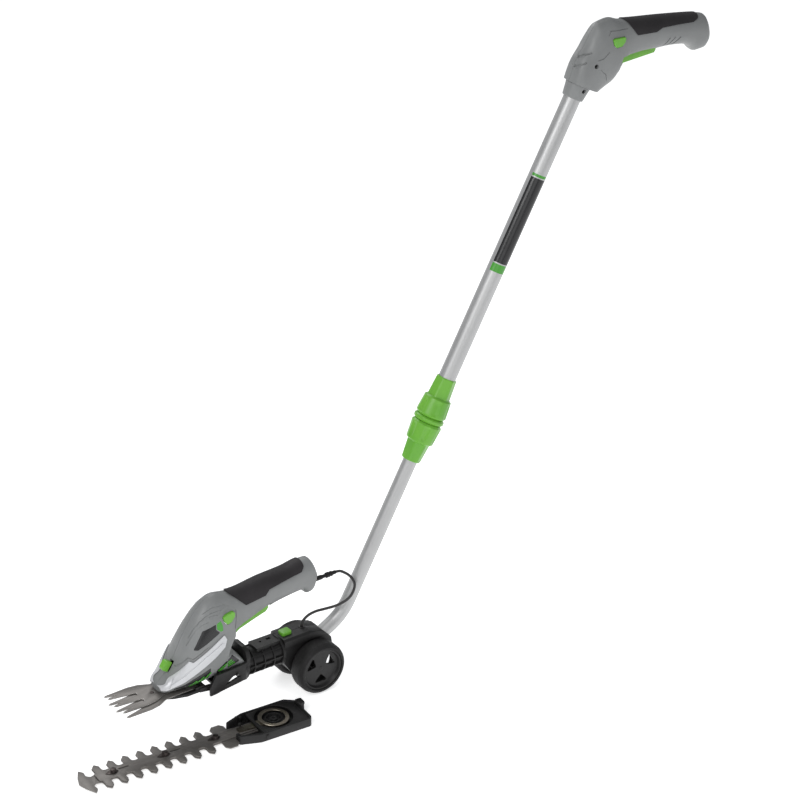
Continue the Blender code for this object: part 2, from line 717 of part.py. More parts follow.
def skin(name, form, outline, side, colour, parent):
    # a thin moulding laid on the housing inside the outline of a side view
    low = min(point[0] for point in outline)
    high = max(point[0] for point in outline)
    stations = form["stations"]
    first = max([k for k, x in enumerate(stations) if x <= low] or [0])
    last = min([k for k, x in enumerate(stations) if x >= high] or [len(stations) - 1])
    stations = stations[first:last + 1]
    made = piece(name, moulded(name, form, -SKIN - SKIN_GAP, side, stations), colour, parent)
    cut(made, moulded("under", form, -SKIN_GAP, 0, [stations[0] - 5] + stations + [stations[-1] + 5]))
    reach = 60.0
    low, high = (-reach, reach) if side == 0 else sorted((side * 2.0, side * reach))
    return keep(made, prism("outline", outline, low, high))


def trigger(name, outline, pivot, shells, parent, colour):
    axis = anchor(name + "_axis", (pivot[0], 0, pivot[1]), parent)
    body = prism(name, rounded(outline, 2.0, 2), -TRIGGER_WIDTH / 2, TRIGGER_WIDTH / 2)
    made = piece(name, body, colour, axis)
    edge = made.modifiers.new("edge", "BEVEL")
    edge.width = 1.2 * MM
    edge.segments = 1
    edge.limit_method = "ANGLE"
    edge.angle_limit = math.radians(60)
    low = min(point[0] for point in outline) - 3.5
    high = max(point[0] for point in outline) + 1.0
    floor = min(point[1] for point in outline) - 12.0
    roof = max(point[1] for point in outline) + TRIGGER_ROOM
    slot = box("slot", (low, -TRIGGER_WIDTH / 2 - GAP, floor), (high, TRIGGER_WIDTH / 2 + GAP, roof))
    for half in shells:
        cut(half, slot)
    frame = y_frame(pivot[0], 0, pivot[1])
    reach = TRIGGER_WIDTH / 2 + 4
    pin = turned(name + "_pin", rod(PIN_RADIUS, -reach, reach, 0.3), frame, 12)
    piece(name + "_pin", pin, steel(), parent)
    cut(made, turned("pin_hole", rod(PIN_RADIUS + GAP, -reach - 1, reach + 1), frame, 12))


def lock_button(name, outline, outer, inner, shells, parent):
    middle = Vector((sum(p[0] for p in outline) / 4, sum(p[1] for p in outline) / 4))
    axis = anchor(name + "_axis", (middle.x, outer, middle.y), parent)
    corners = rounded(outline, 1.5, 2)
    made = piece(name, prism(name, corners, outer, inner), green_plastic(), axis)
    edge = made.modifiers.new("edge", "BEVEL")
    edge.width = 0.6 * MM
    edge.segments = 1
    edge.limit_method = "ANGLE"
    edge.angle_limit = math.radians(60)
    spokes = [Vector(p) - middle for p in corners]
    grown = [tuple(middle + spoke * (1 + (GAP + 0.2) / spoke.length)) for spoke in spokes]
    for half in shells:
        cut(half, prism("window", grown, outer - 10, inner + 0.5))


# Shear head

def blade_tooth(axis_y, reach, root, half_root, half_tip, fan):
    # one tapered tooth of the comb, as three points round its tip
    slope = axis_y / (reach - fan)
    tip_y = axis_y
    root_y = slope * (root - fan)
    return [(root, root_y + half_root), (reach + 3, tip_y + half_tip), (reach, tip_y),
            (reach + 3, tip_y - half_tip), (root, root_y - half_root)]


def comb(teeth, pitch, reach, root, half_root, body):
    # teeth from +Y to -Y, then the body behind them
    outline = []
    for k in range(teeth):
        place = (teeth - 1) / 2 - k
        arc = 2.0 * place * place
        y = place * pitch
        outline += blade_tooth(y, reach + arc, root, half_root, 1.7, COMB_FAN)
    return outline + body


def grass_blades(head):
    fixed_body = [(-229, -26.5), (-216, -20), (-170, -20), (-170, 20), (-216, 20), (-229, 26.5)]
    fixed = comb(COMB_TEETH, COMB_PITCH, COMB_REACH, COMB_ROOT, 5.6, fixed_body)
    low = BLADE_PLANE - GAP / 2 - BLADE_THICK
    plate = prism("grass_blade_fixed", fixed, low, low + BLADE_THICK, "Z")
    made = piece("grass_blade_fixed", plate, steel(), head)
    hole = rod(PIVOT_RADIUS + GAP, HEAD_FLOOR - 14, HEAD_FLOOR + 6)
    cut(made, turned("pivot_hole", hole, z_frame(COMB_PIVOT, 0), 16))
    axis = anchor("grass_blade_axis", (COMB_PIVOT, 0, BLADE_PLANE), head)
    tail = GEAR_X + 10
    moving_body = [(-229, -19), (-214, -12), (tail, -9), (tail, 9), (-214, 12), (-229, 19)]
    moving = comb(COMB_TEETH - 1, COMB_PITCH, COMB_REACH + 3, COMB_ROOT + 1, 5.2, moving_body)
    low = BLADE_PLANE + GAP / 2
    plate = prism("grass_blade_moving", moving, low, low + BLADE_THICK, "Z")
    made = piece("grass_blade_moving", plate, steel(), axis)
    cut(made, turned("pivot_hole", hole, z_frame(COMB_PIVOT, 0), 16))
    cut(made, prism("yoke", rectangle((GEAR_X, 0), 2 * ECCENTRIC + 5, 4.6), 50, 70, "Z"))
    carrier = [(-214, -14), (-205, -19), (-188, -24), (-160, -24), (-160, 24), (-188, 24), (-205, 19),
               (-214, 14)]
    top = BLADE_PLANE - GAP / 2 - BLADE_THICK - GAP
    made = piece("blade_carrier", prism("blade_carrier", rounded(carrier, 2, 2), top - 3.6, top, "Z"),
                 black_plastic(), head)
    rail_top = BLADE_PLANE + 1.6
    for side in (-1, 1):
        near, far = sorted((side * RAIL_INNER, side * RAIL_OUTER))
        fuse(made, box("rail", (RAIL_FRONT, near, top - 1), (RAIL_BACK, far, rail_top)))
    pin_top = BLADE_PLANE + GAP / 2 + BLADE_THICK + 0.3
    pin = rod(PIVOT_RADIUS, top + GAP, pin_top)
    piece("blade_pivot", turned("blade_pivot", pin, z_frame(COMB_PIVOT, 0), 14), steel(), head)


def gear(teeth, low, high, at, phase, name):
    # straight teeth, a little narrow so that two wheels run free
    pitch_radius = GEAR_MODULE * teeth / 2
    outline = []
    for k in range(teeth):
        for part, radius in ((-0.30, pitch_radius - 1.0), (-0.16, pitch_radius + 0.55),
                             (0.16, pitch_radius + 0.55), (0.30, pitch_radius - 1.0)):
            turn = 2 * math.pi * (k + part + phase) / teeth
            outline.append((at[0] + radius * math.cos(turn), at[1] + radius * math.sin(turn)))
    return prism(name, outline, low, high, "Z")


def drive(head):
    floor = HEAD_FLOOR + SHELL_WALL + GAP
    spacing = GEAR_MODULE * (GEAR_TEETH + PINION_TEETH) / 2
    motor_x = GEAR_X + spacing
    axis = anchor("drive_gear_axis", (GEAR_X, 0, floor), head)
    level = floor + GEAR_LIFT
    made = piece("drive_gear", gear(GEAR_TEETH, level, level + 4, (GEAR_X, 0), 0.5, "drive_gear"),
                 black_plastic(), axis)
    fuse(made, prism("hub", disc((GEAR_X, 0), 6, 14), floor + 0.7, level + 1, "Z"))
    fuse(made, prism("pin", disc((GEAR_X + ECCENTRIC, 0), 2, 11), BLADE_PLANE + GAP / 2 + BLADE_THICK + GAP,
                     floor + 2.5, "Z"))
    axis = anchor("motor_pinion_axis", (motor_x, 0, floor), head)
    base = floor + GEAR_LIFT + 9.0
    teeth = gear(PINION_TEETH, level + GAP, level + 4 - GAP, (motor_x, 0), 0.0, "motor_pinion")
    made = piece("motor_pinion", teeth, steel(), axis)
    fuse(made, turned("shaft", rod(SHAFT_RADIUS, level + 3, base + 2), z_frame(motor_x, 0), 12))
    plate = box("motor_mount", (motor_x - 14, -40, base - 3), (motor_x + 18, 40, base - GAP))
    made = piece("motor_mount", plate, black_plastic(), head)
    keep(made, moulded("inside", HEAD, SHELL_WALL + 1.0))
    cut(made, turned("shaft_hole", rod(SHAFT_RADIUS + 1, 50, 120), z_frame(motor_x, 0), 14))
    top = base + MOTOR_HEIGHT
    hole = SHAFT_RADIUS + GAP
    motor = [(0, base + 3), (hole, base + 3), (hole, base), (MOTOR_RADIUS - 1, base),
             (MOTOR_RADIUS, base + 1), (MOTOR_RADIUS, top - 1), (MOTOR_RADIUS - 1, top), (4, top),
             (4, top + 2), (0, top + 2)]
    piece("motor", turned("motor", motor, z_frame(motor_x, 0), 18), steel(), head)


def head_unit():
    head = anchor("head_swivel_axis", (BLOCK_FRONT, 0, NECK_AXIS))
    room = guide("head_room", moulded("head_room", HEAD, SHELL_WALL, count=6))
    foot_stations = [-134, -122, -115, -110, -106, -103.5]
    foot_room = guide("foot_room", moulded("foot_room", FOOT, SHELL_WALL, 0, foot_stations, 6))
    both = []
    for side, name in ((-1, "head_shell_left"), (1, "head_shell_right")):
        half = piece(name, moulded(name, HEAD, side=side), grey_plastic(), head)
        fuse(half, moulded("foot", FOOT, side=side))
        cut(half, room, foot_room)
        both.append(half)
    for half in both:
        cut(half, turned("pin_window", rod(ECCENTRIC + 3.0, HEAD_FLOOR - 1, HEAD_FLOOR + SHELL_WALL + 1),
                         z_frame(GEAR_X, 0), 16))
    skin("head_grip", HEAD, HEAD_RUBBER, 0, rubber(), head)
    skin("head_trim_left", HEAD, HEAD_TRIM, -1, silver_plastic(), head)
    skin("head_trim_right", HEAD, HEAD_TRIM, 1, silver_plastic(), head)
    trigger("head_trigger", HEAD_TRIGGER, HEAD_TRIGGER_PIVOT, both, head, green_plastic())
    lock_button("head_lock_button", HEAD_LOCK, HEAD_LOCK_FACE, LOCK_FOOT, both[:1], head)
    release = anchor("blade_release_axis", (RELEASE_PLACE[0], 0, RELEASE_PLACE[1]), head)
    along = Vector((math.cos(RELEASE_SLOPE), math.sin(RELEASE_SLOPE)))
    out = Vector((-along.y, along.x))
    middle = Vector(RELEASE_PLACE)
    half_length = RELEASE_LENGTH / 2 * along
    cap = [middle - half_length + RELEASE_RISE * out, middle + half_length + RELEASE_RISE * out,
           middle + half_length - RELEASE_DEPTH * out, middle - half_length - RELEASE_DEPTH * out]
    cap = rounded(cap, [3.5, 3.5, 0.5, 0.5], 2)
    knob = prism("blade_release", cap, -RELEASE_WIDTH / 2, RELEASE_WIDTH / 2)
    piece("blade_release", knob, green_plastic(), release)
    half_length = (RELEASE_LENGTH / 2 + GAP) * along
    travel = Vector((RELEASE_TRAVEL + GAP, 0))
    window = [middle - half_length + 12 * out, middle + half_length + 12 * out, middle + half_length + travel,
              middle + half_length - 4 * out + travel, middle - half_length - 4 * out + travel,
              middle - half_length - 4 * out]
    reach = RELEASE_WIDTH / 2 + GAP
    window = prism("release_window", [tuple(point) for point in window], -reach, reach)
    for half in both:
        cut(half, window)
    grass_blades(head)
    drive(head)
    pack = moulded("battery_pack", HEAD, SHELL_WALL + 0.5, 0, [-54, -35, -14], 6)
    piece("battery_pack", pack, black_plastic(), head)
    switch = rounded([(-94, 136), (-73, 136), (-73, 149), (-94, 149)], 1.0, 1)
    shelf = box("head_switch", (-91, -40, 143.5), (-77, 40, 146.5))
    made = piece("head_switch", shelf, black_plastic(), head)
    keep(made, moulded("inside", HEAD, SHELL_WALL + 0.7))
    fuse(made, prism("switch_body", switch, -6, 6))
    socket = [(2.2, -6.0), (5.0, -6.0), (5.0, 0.4), (4.2, 1.2), (2.2, 1.2)]
    socket = turned("power_socket", socket, x_frame(9.5, 0, PLUG_AXIS), 12)
    piece("power_socket", socket, black_plastic(), head)
    for half in both:
        cut(half, turned("socket_hole", rod(5.0 + GAP, 0, 24), x_frame(0, 0, PLUG_AXIS), 12))
    plug_profile = [(0, 6), (1.9, 6), (1.9, 12), (3.0, 12.5), (3.0, 24.5), (2.3, 25), (2.3, 30.0),
                    (3.5, 30.6), (3.5, 35.5), (2.8, 36.0), (2.8, 37.2), (3.3, 37.5), (3.3, 39.5), (2.5, 39.8),
                    (2.4, 45.2), (0, 45.2)]
    piece("cord_plug", turned("cord_plug", plug_profile, x_frame(0, 0, PLUG_AXIS), 12), black_plastic(), head)
    cradle(head)
    return head


def cradle(head):
    spigot_end = BLOCK_FRONT + 7
    profile = [(0, NECK_FRONT)]
    for x in NECK_RIBS:
        profile += [(NECK_CORE, x), (NECK_RADIUS, x), (NECK_RADIUS, x + 1.6), (NECK_CORE, x + 1.6)]
    flange = NECK_RADIUS + 1.5
    profile += [(NECK_CORE, BLOCK_FRONT - 4), (flange, BLOCK_FRONT - 4), (flange, BLOCK_FRONT - 0.5),
                (SPIGOT_RADIUS, BLOCK_FRONT - 0.5), (SPIGOT_RADIUS, spigot_end), (0, spigot_end)]
    profile.insert(1, (NECK_CORE, NECK_FRONT))
    core = turned("swivel_neck", profile, x_frame(0, 0, NECK_AXIS), 16)
    made = piece("swivel_neck", core, black_plastic(), head)
    rear = BLOCK_FRONT - 3
    plate = rounded([(NECK_PLATE, -10.2), (rear, -9.5), (rear, 9.5), (NECK_PLATE, 10.2)], 1.0, 1)
    fuse(made, prism("plate", plate, NECK_AXIS + 8, NECK_AXIS + NECK_RADIUS, "Z"))
    for turn in (0, 38, -38):
        rib = box("rib", (NECK_FRONT + 0.5, -NECK_RADIUS, -0.8), (rear, NECK_RADIUS, 0.8))
        rib.transform(Matrix.Rotation(math.radians(turn), 4, "X"))
        rib.transform(Matrix.Translation((0, 0, NECK_AXIS * MM)))
        fuse(made, rib)
    cut(made, turned("round_hole", rod(1.6, NECK_AXIS + 12, NECK_AXIS + 20), z_frame(-66.7, 1.5), 12),
        prism("square_hole", rectangle((-54.5, 2), 6, 4), NECK_AXIS + 12, NECK_AXIS + 20, "Z"))
    arch = [(8, 37), (15, 46), (18, 60), (19.5, 76), (16.5, 84), (9, 87.5)]
    arch = [(-8, 37)] + arch + [(-y, z) for y, z in reversed(arch[1:])]
    plate = prism("cradle", rounded(arch, 3, 2), ARCH_FRONT, ARCH_BACK, "X")
    made = piece("cradle", plate, black_plastic(), head)
    for side in (-1, 1):
        fuse(made, cradle_arm(side))
    floor = [(x, smooth(HEAD["width"], x) + 1.6) for x in CRADLE_FLOOR]
    floor += [(-106, 20), (ARCH_FRONT + 2, 16)]
    floor += [(x, -y) for x, y in reversed(floor)]
    fuse(made, prism("floor", floor, HEAD_FLOOR - 5.0, HEAD_FLOOR - 1.5, "Z"))
    for side in (-1, 1):
        low, high = sorted((side * 21.0, side * 40.0))
        cut(made, prism("arm_window", ARM_WINDOW, low, high))


def cradle_arm(side):
    # a wall that follows the side of the head from the arch to the front claw
    stations = [ARCH_FRONT + 2, -104, -112, -122, -132, -142, -151, -160]
    tops = [72, 73, 73.4, 74, 74.6, 75.5, 76.3, 61]
    bottoms = [52, 50.3, 50.3, 50.4, 50.5, 50.6, 49.8, 49.8]
    points = []
    for x, top, bottom in zip(stations, tops, bottoms):
        inner = max(smooth(HEAD["width"], x), 19.3) + 0.5 if x < -100 else 15.5
        outer = inner + CRADLE_WALL
        for y, z in ((inner, bottom), (outer, bottom), (outer, top), (inner, top)):
            points.append((x, side * y, z))
    faces = [(0, 1, 2, 3), tuple(range(len(points) - 4, len(points)))]
    for row in range(len(stations) - 1):
        for k in range(4):
            faces.append((4 * row + k, 4 * row + (k + 1) % 4, 4 * row + 4 + (k + 1) % 4, 4 * row + 4 + k))
    return solid("arm", points, faces, False)


# Handle on the pole

def handle_unit(slider):
    frame = pole_frame()
    inside = [SOCKET_END] + [x for x in HANDLE["stations"] if SOCKET_END + 2 < x < 599] + [601]
    room = guide("handle_room", moulded("handle_room", HANDLE, SHELL_WALL, 0, inside, 6))
    both = []
    for side, name in ((-1, "handle_shell_left"), (1, "handle_shell_right")):
        half = piece(name, moulded(name, HANDLE, side=side), grey_plastic(), slider)
        cut(half, room)
        both.append(half)
    for half in both:
        bore = rod(UPPER_TUBE / 2 + GAP, HANDLE_START - 5, HANDLE_START + TUBE_INSIDE + 4)
        cut(half, pole_block("foot_plane", HANDLE_START - 80, HANDLE_START, 63, 43),
            turned("tube_bore", bore, frame, 24))
    collar = [(UPPER_TUBE / 2 + GAP, HANDLE_START - 18), (12.8, HANDLE_START - 18), (13.4, HANDLE_START - 17),
              (15.8, HANDLE_START - GAP), (UPPER_TUBE / 2 + GAP, HANDLE_START - GAP)]
    piece("handle_collar", turned("handle_collar", collar, frame, 24), grey_plastic(), slider)
    skin("handle_grip", HANDLE, HANDLE_RUBBER, 0, rubber(), slider)
    trigger("handle_trigger", HANDLE_TRIGGER, HANDLE_TRIGGER_PIVOT, both, slider, green_plastic())
    lock_button("handle_lock_button", HANDLE_LOCK, HANDLE_LOCK_FACE, LOCK_FOOT, both[:1], slider)
    bulkhead = moulded("handle_switch", HANDLE, SHELL_WALL + 0.9, 0, [540, 543], 6)
    made = piece("handle_switch", bulkhead, black_plastic(), slider)
    fuse(made, box("switch_body", (524, -5, 737), (541, 5, 749)))


# Spare hedge blade

def spare_frame(points):
    # from the blade's own frame to the floor
    cos, sin = math.cos(SPARE_YAW), math.sin(SPARE_YAW)
    return [(SPARE_PLACE[0] + u * cos - v * sin, SPARE_PLACE[1] + u * sin + v * cos) for u, v in points]


def spare_prism(name, outline, low, high):
    return prism(name, spare_frame(outline), FLOOR + low, FLOOR + high, "Z")


def spare_round(name, u, v, profile, steps):
    x, y = spare_frame([(u, v)])[0]
    return turned(name, profile, z_frame(x, y, FLOOR), steps)


def hedge_side(half_width, root, tip):
    side = []
    for k in range(HEDGE_TEETH):
        u = HEDGE_FIRST + k * HEDGE_PITCH
        side += [(u - root, HEDGE_SPINE), (u - root * 0.72, half_width - 5), (u - tip, half_width),
                 (u + tip, half_width), (u + root * 0.72, half_width - 5), (u + root, HEDGE_SPINE)]
    return side


def hedge_bar(half_width, root, tip, front, back):
    upper = front + hedge_side(half_width, root, tip) + back
    both = upper + [(u, -v) for u, v in reversed(upper) if v > 0.01]
    return [(u, v + HEDGE_MIDDLE) for u, v in both]


def holder_outline(inset):
    # the pocketed base under the drive end; the inset moves it inwards
    near = inset - HOLDER_NEAR
    far = HOLDER_FAR - inset
    start = HOLDER_START + inset * 1.6
    end = HOLDER_END - inset
    return [(start, near + 9), (start + 26, near), (end - 3, near), (end, near + 4), (end, far - 9),
            (end - 12, far), (start + 26, far), (start, far - 9)]


def spare_blade():
    spare = anchor("spare_blade_axis", (*SPARE_PLACE, FLOOR))
    low = HEDGE_FLOOR
    neck = HEDGE_FIRST - 17.5
    front = [(HEDGE_FIRST - 31.5, 0.0), (HEDGE_FIRST - 20.5, HEDGE_HALF_WIDTH), (neck, HEDGE_HALF_WIDTH - 1),
             (neck, HEDGE_SPINE)]
    last = HEDGE_FIRST + (HEDGE_TEETH - 1) * HEDGE_PITCH
    back = [(last + 18, HEDGE_SPINE), (last + 20, 25), (last + 24, 27.5), (last + 33, 27.5), (last + 36, 24),
            (last + 37, 10), (COVER_POST, 10)]
    bar = hedge_bar(HEDGE_HALF_WIDTH, 5.0, 2.0, front, back)
    plate = spare_prism("hedge_blade_fixed", bar, low, low + HEDGE_THICK)
    fixed = piece("hedge_blade_fixed", plate, steel(), spare)
    slider = anchor("hedge_blade_axis", (*SPARE_PLACE, FLOOR + low), spare)
    low = HEDGE_FLOOR + HEDGE_THICK + GAP
    front = [(HEDGE_FIRST - 8, HEDGE_SPINE - 2)]
    back = [(CUP_U - 58, HEDGE_SPINE), (CUP_U - 50, 8), (CUP_U - 27, 8)]
    bar = hedge_bar(HEDGE_HALF_WIDTH - 0.8, 4.6, 1.8, front, back)
    plate = spare_prism("hedge_blade_moving", bar, low, low + HEDGE_THICK)
    moving = piece("hedge_blade_moving", plate, steel(), slider)
    top = low + HEDGE_THICK
    for u in HEDGE_BOLTS:
        length = 2 * (BOLT_RADIUS + HEDGE_STROKE + GAP)
        slot = rounded(rectangle((u, HEDGE_MIDDLE), length, 2 * (BOLT_RADIUS + GAP)), 3.0, 2)
        cut(moving, spare_prism("slot", slot, 0, 20))
        cut(fixed, spare_round("hole", u, HEDGE_MIDDLE, rod(BOLT_RADIUS + GAP, 0, 20), 12))
        head = top + GAP
        bolt = [(0, 0.4), (4.2, 0.4), (4.2, HEDGE_FLOOR - GAP), (BOLT_RADIUS, HEDGE_FLOOR - GAP),
                (BOLT_RADIUS, head), (5.6, head), (5.6, head + 1.0), (3.6, head + 1.1), (3.2, head + 2.9),
                (0, head + 3.1)]
        name = "hedge_bolt_%d" % (HEDGE_BOLTS.index(u) + 1)
        piece(name, spare_round(name, u, HEDGE_MIDDLE, bolt, 10), steel(), spare)
    tray = spare_prism("spare_holder", rounded(holder_outline(0), 4, 2), 0, HOLDER_HEIGHT)
    holder = piece("spare_holder", tray, black_plastic(), spare)
    cut(holder, spare_prism("pocket", holder_outline(HOLDER_WALL), HEDGE_FLOOR - GAP, HOLDER_HEIGHT + 5))
    mouth = rectangle((HOLDER_START, HEDGE_MIDDLE), 16, 2 * 11 + 1.0)
    cut(holder, spare_prism("mouth", mouth, HEDGE_FLOOR - GAP, HOLDER_HEIGHT + 5))
    cover = [(max(u, COVER_START), v) for u, v in holder_outline(HOLDER_WALL + 0.6)]
    low = HOLDER_HEIGHT - 2.6
    made = piece("spare_cover", spare_prism("spare_cover", cover, low, low + 1.8), black_plastic(), spare)
    opening = disc((CUP_U, 0), RING_OUTER + HEDGE_STROKE + 0.8, 24)
    cut(made, spare_prism("opening", opening, low - 1, 20))
    posts = [(COVER_POST, 20), (COVER_POST, -21), (HOLDER_END - 8, 12), (HOLDER_END - 8, -12)]
    for u, v in posts:
        fuse(made, spare_round("post", u, v, rod(2.5, HEDGE_FLOOR, low + 1), 10))
    for v in (0.4 - HOLDER_NEAR, HOLDER_FAR - 0.4):
        lug = rectangle((COVER_POST, v * 0.975), 4, 5)
        fuse(holder, spare_prism("lug", lug, HEDGE_FLOOR - 1, HOLDER_HEIGHT - 3))
    ring_low = top + GAP
    band = ring(RING_INNER, RING_OUTER, ring_low, ring_low + 4.0, 0.5)
    made = piece("drive_ring", spare_round("drive_ring", CUP_U, 0, band, 24), brass(), slider)
    arm_end = CUP_U - 18.2
    arm = [(CUP_U - 50, 4.0), (arm_end, 6.5), (arm_end, -6.5), (CUP_U - 50, -4.0)]
    fuse(made, spare_prism("arm", arm, ring_low, ring_low + HEDGE_THICK))
    axis = anchor("drive_cup_axis", (*spare_frame([(CUP_U, 0)])[0], FLOOR), spare)
    rim = HOLDER_HEIGHT - 1.5
    base = HEDGE_FLOOR
    cup = [(0, base), (CUP_RADIUS, base), (CUP_RADIUS, rim), (CUP_RADIUS - 1.8, rim),
           (CUP_RADIUS - 2.2, base + 3),
           (4.5, base + 3), (4.5, base + 6), (2.5, base + 6.2), (2.5, base + 4), (0, base + 4)]
    piece("drive_cup", spare_round("drive_cup", CUP_U, 0, cup, 20), black_plastic(), axis)
    latch = rounded(rectangle((HOLDER_END + 1.5, 8), 9, 12), 2, 2)
    latch = spare_prism("spare_latch", latch, HOLDER_HEIGHT + GAP, HOLDER_HEIGHT + 3.5)
    made = piece("spare_latch", latch, black_plastic(), spare)
    fuse(made, spare_prism("latch_leg", rectangle((HOLDER_END + 4.0, 8), 3, 9), 4, HOLDER_HEIGHT + 1))


def cord():
    # a smooth curve through the route's points, as a round bar
    route = [Vector(point) for point in CORD_ROUTE]
    points = []
    for i in range(len(route) - 1):
        before = route[max(i - 1, 0)]
        after = route[min(i + 2, len(route) - 1)]
        steps = 1 if i in (0,) else 2
        for k in range(steps):
            t = k / steps
            a, b = route[i], route[i + 1]
            points.append(0.5 * (2 * a + (b - before) * t + (2 * before - 5 * a + 4 * b - after) * t * t
                                 + (3 * a - before - 3 * b + after) * t ** 3))
    points.append(route[-1])
    curve = bpy.data.curves.new("cord", "CURVE")
    curve.dimensions = "3D"
    curve.bevel_depth = CORD_DIAMETER / 2 * MM
    curve.bevel_resolution = 2
    curve.use_fill_caps = True
    line = curve.splines.new("POLY")
    line.points.add(len(points) - 1)
    for spot, point in zip(line.points, points):
        spot.co = (*(point * MM), 1.0)
    made = bpy.data.objects.new("cord", curve)
    bpy.context.scene.collection.objects.link(made)
    curve.materials.append(rubber())
    made.parent = root
    length = sum((b - a).length for a, b in zip(points, points[1:]))
    print("cord length", round(length, 1), "mm")


def stand_on_origin():
    # the origin goes on the floor under the middle of the box round everything but the cord and its plug
    bpy.context.view_layer.update()
    graph = bpy.context.evaluated_depsgraph_get()
    low = Vector((1e9, 1e9, 1e9))
    high = -low
    for made in bpy.context.scene.objects:
        if made.type == "EMPTY" or made.hide_render or made.name in ("cord", "cord_plug"):
            continue
        shape = made.evaluated_get(graph)
        mesh = shape.to_mesh()
        for vertex in mesh.vertices:
            spot = shape.matrix_world @ vertex.co
            low = Vector(map(min, low, spot))
            high = Vector(map(max, high, spot))
        shape.to_mesh_clear()
    root.location = (-(low.x + high.x) / 2, -(low.y + high.y) / 2, -low.z)
    print("origin shift", [round(value / MM, 3) for value in root.location], "size", (high - low) / MM)


for old in list(bpy.data.objects):
    bpy.data.objects.remove(old)
root = bpy.data.objects.new("shears", None)
bpy.context.scene.collection.objects.link(root)

wheel(-1, "wheel_left")
wheel(1, "wheel_right")
axle()
block()
swivel_button()
lower_tube()
pole_slide = anchor("pole_slide_axis", on_pole(UPPER_START))
upper_tube(pole_slide)
twist_lock(pole_slide)
handle_unit(pole_slide)
head_unit()
spare_blade()
cord()
stand_on_origin()
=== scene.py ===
# Looks for the cordless shrub shears: finishes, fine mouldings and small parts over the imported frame.
# Places are in the part's own millimetres; at() turns them into the frame's metres.
import json
import math
import bmesh
import bpy
from mathutils import Matrix, Vector

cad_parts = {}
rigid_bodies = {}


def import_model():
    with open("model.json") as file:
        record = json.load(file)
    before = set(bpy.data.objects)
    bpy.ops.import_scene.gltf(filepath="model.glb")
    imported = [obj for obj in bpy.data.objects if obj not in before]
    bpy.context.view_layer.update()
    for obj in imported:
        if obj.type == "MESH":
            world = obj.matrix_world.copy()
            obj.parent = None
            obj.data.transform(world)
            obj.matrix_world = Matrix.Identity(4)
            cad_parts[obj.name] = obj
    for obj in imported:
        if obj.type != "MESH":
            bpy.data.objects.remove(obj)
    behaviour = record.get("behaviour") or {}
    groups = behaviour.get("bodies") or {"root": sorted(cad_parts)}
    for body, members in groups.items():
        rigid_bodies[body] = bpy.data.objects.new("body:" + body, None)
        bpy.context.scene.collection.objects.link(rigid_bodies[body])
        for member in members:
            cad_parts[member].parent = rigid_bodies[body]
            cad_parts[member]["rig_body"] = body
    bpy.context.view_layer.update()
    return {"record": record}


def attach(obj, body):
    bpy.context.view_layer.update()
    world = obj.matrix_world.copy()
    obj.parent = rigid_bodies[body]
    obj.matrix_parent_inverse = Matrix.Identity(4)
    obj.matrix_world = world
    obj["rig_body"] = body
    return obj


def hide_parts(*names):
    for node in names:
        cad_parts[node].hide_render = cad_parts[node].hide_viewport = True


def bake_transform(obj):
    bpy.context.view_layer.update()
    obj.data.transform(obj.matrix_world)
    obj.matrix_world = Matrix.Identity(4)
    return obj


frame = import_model()
mm = 0.001
gap = 0.3
tiny = 1e-6
partJoints = {joint["name"]: joint for joint in frame["record"]["behaviour"]["joints"]}
swivelPlace = (-41.5, 0.0, 59.0)
toolOrigin = Vector(partJoints["head_swivel"]["pos_m"]) - Vector(swivelPlace) * mm


def at(x, y, z):
    return toolOrigin + Vector((x, y, z)) * mm


def linked(name, data):
    thing = bpy.data.objects.new(name, data)
    bpy.context.scene.collection.objects.link(thing)
    return thing


# Camera first: where the photograph was taken from
view = {"azimuth": -35.0, "elevation": 29.0, "lens": 164.0, "sensor": 36.0, "far": 60.0,
        "place": (-2095.1, -3196.1, 2514.7)}


def addCamera():
    turn, rise = math.radians(view["azimuth"]), math.radians(view["elevation"])
    right = Vector((math.cos(turn), math.sin(turn), 0))
    up = Vector((-math.sin(turn) * math.sin(rise), math.cos(turn) * math.sin(rise), math.cos(rise)))
    back = right.cross(up)
    data = bpy.data.cameras.new("photoCamera")
    data.lens = view["lens"]
    data.sensor_width = view["sensor"]
    data.clip_end = view["far"]
    camera = linked("photoCamera", data)
    rows = Matrix((right, up, back)).transposed().to_4x4()
    camera.matrix_world = Matrix.Translation(at(*view["place"])) @ rows
    bpy.context.scene.camera = camera


addCamera()
print("camera placed")


# Shapes: each is (points, faces) in the part's millimetres

def circle(radius, count):
    turns = [2 * math.pi * i / count for i in range(count)]
    return [(radius * math.cos(turn), radius * math.sin(turn)) for turn in turns]


def ringFaces(a, b, count):
    # the faces between two rings of points, which start at a and at b
    return [(a + k, a + (k + 1) % count, b + (k + 1) % count, b + k) for k in range(count)]


def prismShape(outline, low, high, along="Y"):
    def lift(a, b, h):
        return {"Y": (a, h, b), "Z": (a, b, h), "X": (h, a, b)}[along]
    count = len(outline)
    points = [lift(a, b, low) for a, b in outline] + [lift(a, b, high) for a, b in outline]
    ends = [tuple(range(count)), tuple(range(2 * count - 1, count - 1, -1))]
    return points, ends + ringFaces(0, count, count)


def boxShape(low, high):
    outline = [(low[0], low[2]), (high[0], low[2]), (high[0], high[2]), (low[0], high[2])]
    return prismShape(outline, low[1], high[1])


